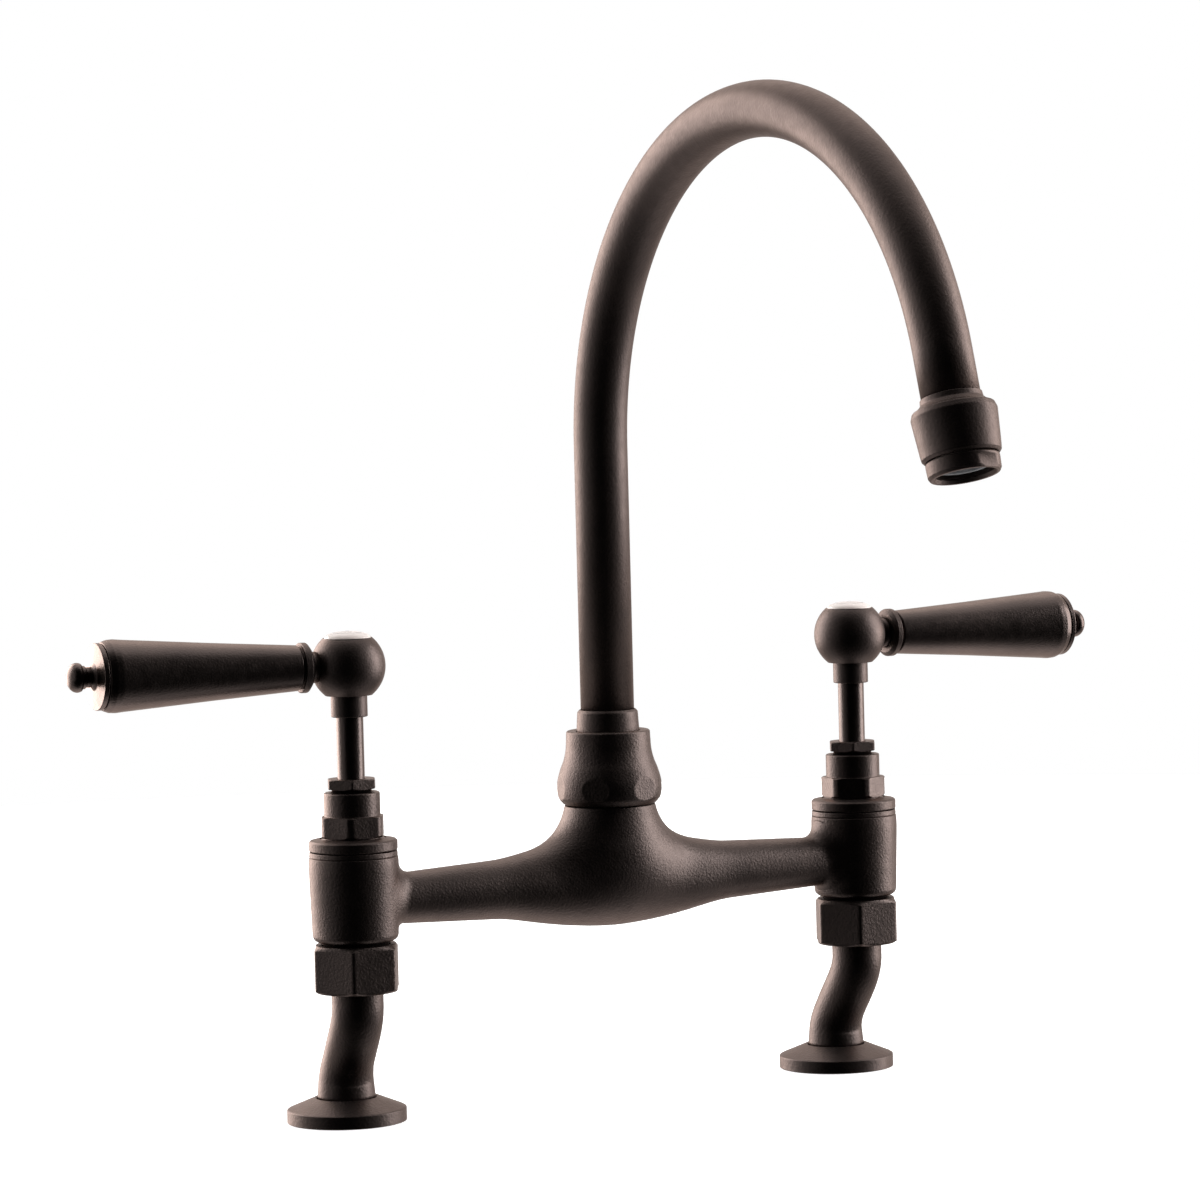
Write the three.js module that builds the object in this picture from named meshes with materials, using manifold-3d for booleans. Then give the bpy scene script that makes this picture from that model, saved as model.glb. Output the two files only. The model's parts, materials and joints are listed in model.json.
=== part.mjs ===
// Two-handle bridge kitchen faucet with a swivelling gooseneck spout.
// Millimetres. +Z up, X along the bridge, -Y toward the person at the sink.
// Origin: on the deck surface, midway between the two valve barrels.
import * as THREE from "three";
import { mergeVertices } from "three/addons/utils/BufferGeometryUtils.js";
import Module from "manifold-3d";

// ------------------------------------------------------------ driving sizes
const CENTRES = 203.2; // barrel axis to barrel axis: 8 inch sink ledge holes
const HALF = CENTRES / 2;

// facets per full turn
const FINE = 22; // large visible turned forms
const MID = 14; // small visible turned forms
const PLAIN = 10; // rings and bores that stay inside

// bridge casting
const ARM_Z = 77.8; // height of the bridge arms' axis
const ARM_R_END = 8.75; // arm radius where it reaches the barrel
const ARM_R_ROOT = 12.35; // arm radius, run on to the middle of the casting
const BELLY = { x: 46, y: 13.5, z: 15.8 }; // half sizes of the swollen middle
const NECK_R = 15.5; // round neck that rises to the swivel nut
const NECK_TOP = 104.6;
const NECK_BLEND = 18.5; // width of the hollow sweep from neck to arms
const BELLY_BLEND = 6;
const PIVOT_X = 36; // the neck's sections turn about (PIVOT_X, NECK_TOP)
const WATERWAY_R = 5.5;
const SPIGOT_R = 12.6; // threaded spigot that takes the swivel nut
const SPIGOT_TOP = 117.6;
const SPIGOT_BORE = 9.9;

// valve barrels
const BARREL_TOP = 95.6;
const BARREL_FOOT = 64.4;
const BARREL_R = 15.7; // under its rim; the barrel tapers to BARREL_R_FOOT
const RIM_R = 15.3; // low rim that carries the bonnet disc
const BARREL_R_FOOT = 14.9;
const BARREL_BORE = 11.4;
const SEAT_Z = 68; // floor of the bore, where the cartridge seals
const TAIL_R = 11.5; // threaded tail below the barrel
const TAIL_FOOT = 54.8;
const INLET_R = 6.4;

// bonnet, gland and spindle
const BONNET_HEX_AF = 20.9;
const BONNET_HEX_Z = [100.5, 107.7];
const BONNET_R = 9.72;
const BONNET_TOP = 115.9;
const BONNET_DISC_R = 15.35;
const BONNET_DISC_Z = [95.9, 99.5];
const GLAND_AF = 16;
const GLAND_Z = [117.1, 120.6];
const SPINDLE_R = 4.69;

// cranked legs, unions and deck flanges
const CRANK_BACK = 13.7; // each leg steps back by this much
const CRANK_IN = 1.4; // and in toward the middle by this much
const BEND_LEG_Z = [42, 13]; // the leg's S runs between these heights
const LEG_R = 9.0;
const LEG_R_FOOT = 10.1;
const LEG_TOP = 52.4;
const LEG_FOOT = 0.6;
const UNION_AF = 28;
const UNION_Z = [46.9, 63.4];
const UNION_TURN = { left: 0, right: 0.066 }; // where the nuts came to rest
const FLANGE_R = 20.85;
const FLANGE_RIM = 4.5;
const FLANGE_TOP = 8.5;

// levers
const HUB_Z = 159.4; // height of the ball hub's centre
const HUB_R = 12.9;
const HUB_NECK_R = 6.3;
const HUB_NECK_FOOT = 141.9;
const HUB_FLAT = 169.1; // the ball is faced off here for the index disc
const INDEX_R = 8.1;
const HUB_SEAT = 149.3; // the ball's underside is faced off here
const COLLAR_START = 14.7; // distances along the lever from the spindle axis
const COLLAR_R = 8.65;
const GRIP_START = 18.7;
const GRIP_END = 88.9;
const GRIP_R_START = 7.85;
const GRIP_R_END = 12.5;
const KNOB_R = 5.05;
const LEVER_END = 100.9;
// how the two levers stand in the photo, in degrees: turned about the spindle
// from the line of the bridge, and tipped up at the end
const LEVER_REST = { left: { turn: -5.5, tip: 0.6 }, right: { turn: -1, tip: -0.6 } };

// spout
const TUBE_R = 9.47;
const TUBE_BORE = 8.2;
const TUBE_FOOT = 109;
const BEND_Z = 231.5; // where the straight rise meets the bend
const BEND_R = 113;
const BEND_SWEEP = 163.5; // degrees
const OUTLET_STRAIGHT = 17.5; // straight run after the bend
const FERRULE_Z = [120.2, 138.4];
const NUT_Z = [105, 131];
const NOZZLE_TWIST = 12; // degrees, where the outlet ring's flats came to rest

// clearance between pieces that seat on each other
const SEAT_GAP = 0.3;

// ---------------------------------------------------------------- materials
const finish = (color, roughness, metalness) =>
  new THREE.MeshStandardMaterial({ color, roughness, metalness });
const BRONZE = finish(0x2a2321, 0.48, 0.85);
const BRONZE_SATIN = finish(0x2e2725, 0.36, 0.85);
const PORCELAIN = finish(0xeee4de, 0.22, 0.0);
const STEEL = finish(0x9a9a98, 0.3, 1.0);
const RUBBER = finish(0x161616, 0.8, 0.0);
const NYLON = finish(0xd9d4c6, 0.55, 0.0);
const CERAMIC = finish(0xe9e7e0, 0.25, 0.0);
const PLASTIC = finish(0x8e9092, 0.5, 0.0);
const FIBRE = finish(0x7d2a22, 0.85, 0.0);

// ------------------------------------------------------------ solid helpers
const wasm = await Module();
wasm.setup();

function toSolid(geometry) {
  const plain = geometry.index ? geometry.toNonIndexed() : geometry.clone();
  plain.deleteAttribute("normal");
  plain.deleteAttribute("uv");
  const merged = mergeVertices(plain, 1e-3);
  const triVerts = new Uint32Array(merged.index.array);
  const vertProperties = merged.attributes.position.array;
  const make = () =>
    new wasm.Manifold(new wasm.Mesh({ numProp: 3, vertProperties, triVerts }));
  const solid = make();
  if (solid.volume() >= 0) return solid;
  // the profile ran the other way round: turn every face over
  for (let i = 0; i < triVerts.length; i += 3)
    [triVerts[i + 1], triVerts[i + 2]] = [triVerts[i + 2], triVerts[i + 1]];
  return make();
}

function toGeometry(solid) {
  const mesh = solid.getMesh();
  const geometry = new THREE.BufferGeometry();
  geometry.setAttribute(
    "position",
    new THREE.BufferAttribute(new Float32Array(mesh.vertProperties), 3),
  );
  geometry.setIndex(new THREE.BufferAttribute(new Uint32Array(mesh.triVerts), 1));
  geometry.computeVertexNormals();
  return geometry;
}

const combine = (how, first, others) =>
  toGeometry(others.reduce((sum, g) => sum[how](toSolid(g)), toSolid(first)));
const join = (first, ...others) => combine("add", first, others);
const cut = (first, ...others) => combine("subtract", first, others);
const common = (first, ...others) => combine("intersect", first, others);

// a profile of [radius, height] pairs turned about Z, closed on itself
function turned(profile, segments = MID) {
  const points = profile.map(([r, z]) => new THREE.Vector2(r, z));
  if (profile[0][0] > 0 || profile.at(-1)[0] > 0) points.push(points[0].clone());
  const lathe = new THREE.LatheGeometry(points, segments);
  lathe.rotateX(Math.PI / 2);
  return toGeometry(toSolid(lathe));
}

// a plain ring, or a rod when the inner radius is 0
const ring = (inner, outer, z0, z1, segments = PLAIN) =>
  turned(
    inner > 0
      ? [[inner, z0], [outer, z0], [outer, z1], [inner, z1]]
      : [[0, z0], [outer, z0], [outer, z1], [0, z1]],
    segments,
  );

function polygonPrism(sides, acrossFlats, z0, z1, turn = 0) {
  const corner = acrossFlats / 2 / Math.cos(Math.PI / sides);
  const outline = Array.from({ length: sides }, (_, i) => {
    const a = turn + (i * 2 * Math.PI) / sides;
    return new THREE.Vector2(corner * Math.cos(a), corner * Math.sin(a));
  });
  const prism = new THREE.ExtrudeGeometry(new THREE.Shape(outline), {
    depth: z1 - z0,
    bevelEnabled: false,
  });
  return prism.translate(0, 0, z0);
}

// a spanner hexagon whose corners are turned down to a cone at both ends
function hexagon(acrossFlats, z0, z1, turn, { top = 0, foot = 0, corner = 0 } = {}) {
  const r = corner || acrossFlats / 2 / Math.cos(Math.PI / 6);
  const cone = (drop) => r - drop / Math.tan(Math.PI / 6);
  const blank = turned(
    [
      [0, z0],
      [foot ? cone(foot) : r, z0],
      [r, z0 + foot],
      [r, z1 - top],
      [top ? cone(top) : r, z1],
      [0, z1],
    ],
    FINE + 2,
  );
  return common(polygonPrism(6, acrossFlats, z0, z1, turn), blank);
}

const moved = (geometry, x, y, z) => geometry.clone().translate(x, y, z);
// a form turned about Z laid down so that its axis runs along +X
const alongX = (geometry) => geometry.clone().rotateY(Math.PI / 2);

function piece(name, geometry, material) {
  const mesh = new THREE.Mesh(geometry, material);
  mesh.name = name;
  return mesh;
}

function fromLists(positions, index) {
  const geometry = new THREE.BufferGeometry();
  geometry.setAttribute("position", new THREE.Float32BufferAttribute(positions, 3));
  geometry.setIndex(index);
  return geometry;
}

// a tube of changing radius along a list of centres, closed by a fan at each end
function loft(stations, segments) {
  const rows = stations.map(({ centre, side, up, radius }) =>
    Array.from({ length: segments }, (_, j) => {
      const a = (j * 2 * Math.PI) / segments;
      return centre
        .clone()
        .addScaledVector(side, radius * Math.cos(a))
        .addScaledVector(up, radius * Math.sin(a));
    }),
  );
  const positions = rows.flat().flatMap((p) => [p.x, p.y, p.z]);
  const index = [];
  const next = (j) => (j + 1) % segments;
  for (let i = 0; i + 1 < rows.length; i++)
    for (let j = 0; j < segments; j++) {
      const a = i * segments + j;
      const b = i * segments + next(j);
      index.push(a, b, b + segments, a, b + segments, a + segments);
    }
  [0, rows.length - 1].forEach((i) => {
    const hub = positions.length / 3;
    const c = stations[i].centre;
    positions.push(c.x, c.y, c.z);
    for (let j = 0; j < segments; j++) {
      const a = i * segments + j;
      const b = i * segments + next(j);
      index.push(...(i === 0 ? [b, a, hub] : [a, b, hub]));
    }
  });
  return toGeometry(toSolid(fromLists(positions, index)));
}

// ----------------------------------------------------------- bridge casting
// The casting's skin is where castingField is zero: tapering arms, a swollen
// middle and a round neck, run together by soft minimums as a fettled casting is.
function softMin(a, b, width) {
  const h = Math.max(width - Math.abs(a - b), 0) / width;
  return Math.min(a, b) - (h * h * width) / 4;
}

function armRadius(x) {
  const toMiddle = Math.min(Math.max(1 - Math.hypot(x, 3) / 86.3, 0), 1);
  return ARM_R_END + (ARM_R_ROOT - ARM_R_END) * toMiddle;
}

function castingField(x, y, z) {
  const dz = z - ARM_Z;
  const arm = Math.hypot(y, dz) - armRadius(x);
  const { x: bx, y: by, z: bz } = BELLY;
  const e = Math.hypot(x / bx, y / by, dz / bz);
  const g = Math.hypot(x / bx ** 2, y / by ** 2, dz / bz ** 2) + 1e-9;
  const belly = (e * (e - 1)) / g;
  const neck = Math.hypot(x, y, Math.min(z - 92.5, 0)) - NECK_R;
  return softMin(softMin(arm, belly, BELLY_BLEND), neck, NECK_BLEND);
}

// distance from a start inside the skin, along a ray, to the skin
function toSkin(field, limit = 60) {
  let inside = 0;
  let outside = limit;
  for (let i = 0; i < 40; i++) {
    const mid = (inside + outside) / 2;
    if (field(mid) < 0) inside = mid;
    else outside = mid;
  }
  return inside;
}

// One half of the casting as a fan of sections. The first is the flat top of the
// neck; the fan turns about a line behind the hollow sweep until it stands
// upright, then the sections run out along the arm to the barrel.
function castingHalf(side) {
  const RAYS = 14;
  const bottom = ARM_Z - toSkin((t) => castingField(0, 0, ARM_Z - t));
  const meeting = Math.atan2(NECK_TOP - bottom, PIVOT_X);
  const rows = [];
  const spread = (limit, j) => {
    // rays bunch a little toward the seam, where the plan form is round
    const t = (2 * j) / RAYS - 1;
    return limit * (t + 0.06 * Math.sin(Math.PI * t));
  };
  const fan = (angle) => {
    const dx = -Math.cos(angle);
    const dz = -Math.sin(angle);
    const at = (rho, y) => [PIVOT_X + rho * dx, y, NECK_TOP + rho * dz];
    const field = (rho, y) => castingField(...at(rho, y));
    // the near skin, and either the seam plane or the far skin
    let near = 0;
    while (field(near, 0) > 0) near += 0.05;
    const seam = angle < meeting + 1e-9 ? PIVOT_X / Math.cos(angle) : Infinity;
    const inner = near + 6;
    const far = Math.min(seam, inner + toSkin((t) => field(inner + t, 0)));
    const mid = (near + far) / 2;
    const atSeam = seam < Infinity && angle < meeting - 1e-6;
    const seamY = atSeam ? toSkin((t) => field(far, t)) : 0;
    const limit = atSeam ? Math.PI / 2 + Math.atan2(far - mid, seamY) : Math.PI;
    rows.push(
      Array.from({ length: RAYS + 1 }, (_, j) => {
        const end = j === 0 || j === RAYS;
        const beta = spread(limit, j);
        let rho = far;
        let y = Math.sign(beta) * seamY;
        if (!end) {
          const reach = toSkin((t) =>
            field(mid - t * Math.cos(beta), t * Math.sin(beta)),
          );
          const straight = atSeam && Math.cos(beta) < 0;
          const toPlane = straight ? (far - mid) / -Math.cos(beta) : Infinity;
          const t = Math.min(reach, toPlane);
          rho = mid - t * Math.cos(beta);
          y = t * Math.sin(beta);
        }
        const [x, , z] = at(rho, y);
        return new THREE.Vector3(side * (atSeam && end ? 0 : x), y, z);
      }),
    );
  };
  // the steps close up toward the rounded underside
  const fanSteps = 9;
  for (let i = 0; i <= fanSteps; i++)
    fan(meeting * (1 - (1 - i / fanSteps) ** 1.7));
  const uprights = 4;
  for (let i = 1; i <= uprights; i++)
    fan(meeting + ((Math.PI / 2 - meeting) * i) / uprights);
  // out along the arm, then on rings that follow the barrel's wall
  const armRow = (xAt, flare) =>
    rows.push(
      Array.from({ length: RAYS + 1 }, (_, j) => {
        const beta = spread(Math.PI, j);
        const up = Math.cos(beta);
        const r =
          flare < 0
            ? toSkin((t) => castingField(xAt(0), t * Math.sin(beta), ARM_Z + t * up))
            : ARM_R_END + filletRise(flare, 4.4 + 1.7 * up);
        const y = j === 0 || j === RAYS ? 0 : r * Math.sin(beta);
        return new THREE.Vector3(side * xAt(y), y, ARM_Z + r * up);
      }),
    );
  for (const x of [50, 64, 76]) armRow(() => x, -1);
  for (const gap of [4.2, 2.0, 0.7, -0.8])
    armRow((y) => HALF - Math.sqrt((BARREL_R_FOOT + 0.2 + gap) ** 2 - y * y), gap);
  return rows;
}

// rise of a hollow fillet of radius k at a distance gap from the wall
function filletRise(gap, k) {
  const run = Math.max(k - Math.max(gap, 0), 0);
  return k - Math.sqrt(k * k - run * run);
}

function castingSkin() {
  const positions = [];
  const index = [];
  for (const side of [1, -1]) {
    const rows = castingHalf(side);
    const start = positions.length / 3;
    const count = rows[0].length;
    rows.flat().forEach((p) => positions.push(p.x, p.y, p.z));
    const face = (a, b, c) =>
      index.push(...(side > 0 ? [a, b, c] : [a, c, b]).map((n) => n + start));
    for (let i = 0; i + 1 < rows.length; i++)
      for (let j = 0; j + 1 < count; j++) {
        const a = i * count + j;
        face(a, a + 1, a + count + 1);
        face(a, a + count + 1, a + count);
      }
    // flat top of the neck, and the end inside the barrel
    const caps = [
      [0, new THREE.Vector3(0, 0, NECK_TOP)],
      [rows.length - 1, new THREE.Vector3(side * (HALF - 14), 0, ARM_Z)],
    ];
    for (const [row, centre] of caps) {
      const hub = positions.length / 3 - start;
      positions.push(centre.x, centre.y, centre.z);
      for (let j = 0; j + 1 < count; j++) {
        const a = row * count + j;
        if (row === 0) face(a + 1, a, hub);
        else face(a, a + 1, hub);
      }
    }
  }
  // slivers with two corners in one place close the seam: drop them
  const merged = mergeVertices(fromLists(positions, index), 1e-3);
  const kept = [];
  const old = merged.index.array;
  for (let i = 0; i < old.length; i += 3) {
    const [a, b, c] = [old[i], old[i + 1], old[i + 2]];
    if (a !== b && b !== c && a !== c) kept.push(a, b, c);
  }
  merged.setIndex(kept);
  return merged;
}

function bridgeBody() {
  const barrel = turned(
    [
      [0, TAIL_FOOT],
      [TAIL_R - 0.6, TAIL_FOOT],
      [TAIL_R, TAIL_FOOT + 0.6],
      [TAIL_R, BARREL_FOOT],
      [BARREL_R_FOOT - 2.2, BARREL_FOOT],
      [BARREL_R_FOOT - 0.7, BARREL_FOOT + 0.7],
      [BARREL_R_FOOT, BARREL_FOOT + 2.3],
      [BARREL_R, BARREL_TOP - 3.2],
      [RIM_R + 0.1, BARREL_TOP - 2.1],
      [RIM_R - 0.3, BARREL_TOP - 1.9], // incised line under the rim
      [RIM_R, BARREL_TOP - 1.6],
      [RIM_R - 0.1, BARREL_TOP],
      [0, BARREL_TOP],
    ],
    FINE,
  );
  const barrelBore = turned(
    [
      [0, TAIL_FOOT - 1],
      [INLET_R, TAIL_FOOT - 1],
      [INLET_R, SEAT_Z],
      [BARREL_BORE, SEAT_Z],
      [BARREL_BORE, BARREL_TOP + 1],
      [0, BARREL_TOP + 1],
    ],
    MID,
  );
  const spigot = turned(
    [
      [0, 96],
      [SPIGOT_R, 96],
      [SPIGOT_R, SPIGOT_TOP - 0.6],
      [SPIGOT_R - 0.6, SPIGOT_TOP],
      [0, SPIGOT_TOP],
    ],
    MID,
  );
  const riser = turned(
    [
      [0, ARM_Z],
      [WATERWAY_R + 1.5, ARM_Z],
      [WATERWAY_R + 1.5, 98],
      [SPIGOT_BORE, 102],
      [SPIGOT_BORE, SPIGOT_TOP + 1],
      [0, SPIGOT_TOP + 1],
    ],
    MID,
  );
  const waterway = alongX(ring(0, WATERWAY_R, -HALF, HALF, PLAIN));
  return cut(
    join(
      castingSkin(),
      spigot,
      moved(barrel, HALF, 0, 0),
      moved(barrel, -HALF, 0, 0),
    ),
    riser,
    moved(waterway, 0, 0, ARM_Z),
    moved(barrelBore, HALF, 0, 0),
    moved(barrelBore, -HALF, 0, 0),
  );
}

// --------------------------------------------------------------- swivel nut
// A turned bell with six round spanner flats ground on its bulge.
function swivelNut() {
  const FLAT_AF = 35.7;
  const outside = [
    [16.4, NUT_Z[0]],
    [17.7, 106.5],
    [18.4, 108.4],
    [18.56, 111],
    [18.3, 114],
    [17.2, 117.7],
    [15.9, 120.9],
    [15.2, 124.4],
    [14.9, 129],
    [14.3, NUT_Z[1]],
  ];
  const inside = [
    [11.35, NUT_Z[1]],
    [11.35, 123.4],
    [13.1, 123.4],
    [13.1, NUT_Z[0]],
  ];
  const bell = turned([...outside, ...inside], 26);
  const flats = polygonPrism(6, FLAT_AF, NUT_Z[0] - 1, NUT_Z[1] + 1, 0.27);
  return common(bell, flats);
}

// ------------------------------------------------------------ valve, one side
function bonnet(turn) {
  const core = turned(
    [
      [0, SEAT_Z + 3],
      [10.3, SEAT_Z + 3],
      [10.3, 86],
      [11.0, 86],
      [11.0, 99.9],
      [BONNET_R, 99.9],
      [BONNET_R, BONNET_TOP - 0.6],
      [BONNET_R - 0.6, BONNET_TOP],
      [0, BONNET_TOP],
    ],
    MID,
  );
  const hex = hexagon(BONNET_HEX_AF, ...BONNET_HEX_Z, turn, {
    top: 0.3,
    foot: 0.6,
    corner: 11.5,
  });
  const bore = turned(
    [
      [0, SEAT_Z],
      [8.9, SEAT_Z],
      [8.9, 84],
      [SPINDLE_R + 0.3, 86],
      [SPINDLE_R + 0.3, 104],
      [7.2, 104],
      [7.2, BONNET_TOP + 1],
      [0, BONNET_TOP + 1],
    ],
    PLAIN,
  );
  const port = alongX(ring(0, 2.8, -12, 12, 8)); // side windows to the barrel
  return cut(join(core, hex), bore, moved(port, 0, 0, 79.5));
}

function glandNut(turn) {
  const stem = ring(0, 6.85, 108.4, GLAND_Z[0] + 0.5);
  const head = hexagon(GLAND_AF, ...GLAND_Z, turn, { top: 0.5, foot: 0.3 });
  return cut(join(stem, head), ring(0, SPINDLE_R + 0.3, 100, 130, PLAIN));
}

// a ceramic disc with two fan-shaped ports a quarter turn wide
function ceramicDisc(radius, z0, z1, turn) {
  const port = (start) => {
    const shape = new THREE.Shape();
    const wide = Math.PI / 2 - 0.3;
    shape.absarc(0, 0, radius * 0.78, start, start + wide, false);
    shape.absarc(0, 0, radius * 0.3, start + wide, start, true);
    shape.closePath();
    const geometry = new THREE.ExtrudeGeometry(shape, {
      depth: z1 - z0 + 2,
      bevelEnabled: false,
      curveSegments: 3,
    });
    return geometry.translate(0, 0, z0 - 1);
  };
  const disc = ring(0, radius, z0, z1);
  return cut(disc, port(turn), port(turn + Math.PI));
}

function unionNut(turn) {
  const outside = hexagon(UNION_AF, ...UNION_Z, turn, { top: 1.5, foot: 1.0 });
  const bore = turned(
    [
      [0, UNION_Z[0] - 1],
      [LEG_R + 0.45, UNION_Z[0] - 1],
      [LEG_R + 0.45, 49],
      [TAIL_R + 0.45, 49],
      [TAIL_R + 0.45, UNION_Z[1] + 1],
      [0, UNION_Z[1] + 1],
    ],
    MID,
  );
  return cut(outside, bore);
}

// The leg leaves the union upright, steps back and in along an S, and ends in a
// foot that widens inside the deck flange.
function leg(side) {
  const [bendTop, bendFoot] = BEND_LEG_Z;
  const ease = (t) => t * t * (3 - 2 * t);
  const centreAt = (z) => {
    const t = Math.min(Math.max((bendTop - z) / (bendTop - bendFoot), 0), 1);
    const s = ease(t);
    return new THREE.Vector3(-side * CRANK_IN * s, CRANK_BACK * s, z);
  };
  const station = (z, radius) => {
    const along = centreAt(z + 0.05).sub(centreAt(z - 0.05)).normalize();
    const side3 = new THREE.Vector3(1, 0, 0)
      .addScaledVector(along, -along.x)
      .normalize();
    const up = new THREE.Vector3().crossVectors(along, side3);
    return { centre: centreAt(z), side: side3, up, radius };
  };
  const widen = (z) => {
    const t = Math.min(Math.max((21.5 - z) / 11, 0), 1);
    return LEG_R + (LEG_R_FOOT - LEG_R) * t;
  };
  const heights = [46, bendTop, 36.6, 32.4, 28.4, 24, 19.5, 15, 8.7];
  const outer = loft(
    [
      ...heights.map((z) => station(z, widen(z))),
      station(8.4, 9.7),
      station(LEG_FOOT, 9.7),
    ],
    MID,
  );
  // straight head of the leg, with the collar that the union nut draws up
  const head = turned(
    [
      [0, 44],
      [LEG_R, 44],
      [LEG_R, 49.4],
      [11.3, 50.4],
      [11.3, LEG_TOP],
      [0, LEG_TOP],
    ],
    MID,
  );
  const bore = loft(
    [LEG_TOP + 1, bendTop, 34.5, 28, 21.5, bendFoot, 10].map((z) =>
      station(z, INLET_R - 0.3),
    ),
    PLAIN,
  );
  const socket = ring(0, 8.0, LEG_FOOT - 1, 11.5, PLAIN); // threaded supply socket
  return cut(
    join(outer, head),
    bore,
    moved(socket, -side * CRANK_IN, CRANK_BACK, 0),
  );
}

function deckFlange() {
  return turned(
    [
      [19.0, 0],
      [FLANGE_R, 0],
      [FLANGE_R, FLANGE_RIM - 0.3],
      [FLANGE_R - 0.4, FLANGE_RIM],
      [10.9, FLANGE_TOP],
      [10.4, FLANGE_TOP - 0.4],
      [10.4, 2.3],
      [19.0, 2.3],
    ],
    FINE + 2,
  );
}

// ------------------------------------------------------------- lever, pointing +X
function leverHub() {
  const rows = 7;
  const flat = Math.asin((HUB_FLAT - HUB_Z) / HUB_R); // where the top is cut off
  const neck = Math.asin((HUB_SEAT + 0.35 - HUB_Z) / HUB_R); // where the ball ends
  const arc = Array.from({ length: rows + 1 }, (_, i) => {
    const a = neck + ((flat - neck) * i) / rows;
    return [HUB_R * Math.cos(a), HUB_Z + HUB_R * Math.sin(a)];
  });
  const ball = turned(
    [
      [0, HUB_NECK_FOOT],
      [HUB_NECK_R, HUB_NECK_FOOT],
      [HUB_NECK_R, HUB_SEAT],
      [7.9, HUB_SEAT],
      ...arc,
      [INDEX_R + 0.3, HUB_FLAT],
      [INDEX_R + 0.3, HUB_FLAT - 1.5],
      [0, HUB_FLAT - 1.5],
    ],
    FINE,
  );
  const socket = turned(
    [
      [0, 141],
      [SPINDLE_R + 0.3, 141],
      [SPINDLE_R + 0.3, 144.6],
      [4.3, 144.6],
      [4.3, 155.6],
      [2.4, 155.6],
      [2.4, 161.6],
      [4.4, 161.6],
      [4.4, HUB_FLAT],
      [0, HUB_FLAT],
    ],
    PLAIN,
  );
  const studHole = alongX(
    turned([[0, 7], [3.3, 7], [3.3, 11.6], [5.75, 11.6], [5.75, 14], [0, 14]], PLAIN),
  );
  return cut(ball, socket, moved(studHole, 0, 0, HUB_Z));
}

const leverStud = () =>
  alongX(
    turned(
      [
        [0, 7.6],
        [3.0, 7.6],
        [3.0, 11.9],
        [5.4, 11.9],
        [5.4, COLLAR_START - SEAT_GAP],
        [3.6, COLLAR_START - SEAT_GAP],
        [3.6, 34],
        [0, 34],
      ],
      PLAIN,
    ),
  );

const leverCollar = () =>
  alongX(
    turned(
      [
        [3.9, COLLAR_START],
        [7.3, COLLAR_START],
        [COLLAR_R, COLLAR_START + 1],
        [COLLAR_R, 17.5],
        [COLLAR_R - 0.4, 17.8],
        [7.3, 17.8],
        [7.3, GRIP_START - SEAT_GAP],
        [3.9, GRIP_START - SEAT_GAP],
      ],
      MID,
    ),
  );

const leverGrip = () =>
  alongX(
    turned(
      [
        [3.9, GRIP_START],
        [GRIP_R_START, GRIP_START],
        [9.85, 49.5],
        [12.2, 81.5],
        [GRIP_R_END, 84.6],
        [GRIP_R_END - 0.15, 86.7],
        [GRIP_R_END - 0.95, GRIP_END],
        [4.6, GRIP_END],
        [4.6, 36],
        [3.9, 36],
      ],
      FINE,
    ),
  );

const leverFinial = () =>
  alongX(
    turned(
      [
        [0, 76],
        [4.2, 76],
        [4.2, GRIP_END + SEAT_GAP],
        [11.4, GRIP_END + SEAT_GAP],
        [11.4, 90.9],
        [11.1, 91.15],
        [4.6, 91.5],
        [3.45, 92.4],
        [3.45, 94.5],
        [3.95, 94.8],
        [3.95, 96.1],
        [4.75, 96.3],
        [KNOB_R, 97.4],
        [4.7, 99],
        [3.2, 100.3],
        [0, LEVER_END],
      ],
      MID,
    ),
  );

const indexDisc = () =>
  turned(
    [
      [0, HUB_FLAT - 1.2],
      [INDEX_R, HUB_FLAT - 1.2],
      [INDEX_R, HUB_FLAT + 0.3],
      [INDEX_R - 0.5, HUB_FLAT + 1.0],
      [5.2, HUB_FLAT + 1.9],
      [0, HUB_FLAT + 2.35],
    ],
    MID,
  );

function hubScrew() {
  const body = turned(
    [
      [0, 151.6],
      [2.0, 151.6],
      [2.0, 162],
      [4.0, 162],
      [4.0, 165.6],
      [3.6, 166],
      [0, 166],
    ],
    PLAIN,
  );
  return cut(body, polygonPrism(6, 3, 163.5, 167));
}

// The spindle turns the upper ceramic disc by a fork at its foot.
function spindle() {
  const shaft = turned(
    [
      [0, 76.6],
      [7.9, 76.6],
      [7.9, 82.6],
      [SPINDLE_R, 84.6],
      [SPINDLE_R, 144.3],
      [4.0, 144.3],
      [4.0, 155.2],
      [0, 155.2],
    ],
    MID,
  );
  const slot = new THREE.BoxGeometry(20, 6.4, 3.4).translate(0, 0, 78);
  const tapped = ring(0, 2.35, 150.6, 156, 12); // takes the hub screw
  return cut(shaft, slot, tapped);
}

function turningDisc(turn) {
  const key = new THREE.BoxGeometry(13, 5.8, 1.7).translate(0, 0, 77.7);
  const disc = ceramicDisc(8.4, 73.5, 76.3, turn);
  const web = common(key, ring(0, 7.4, 70, 80, PLAIN));
  return join(disc, web.translate(0, 0, -0.95));
}

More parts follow.
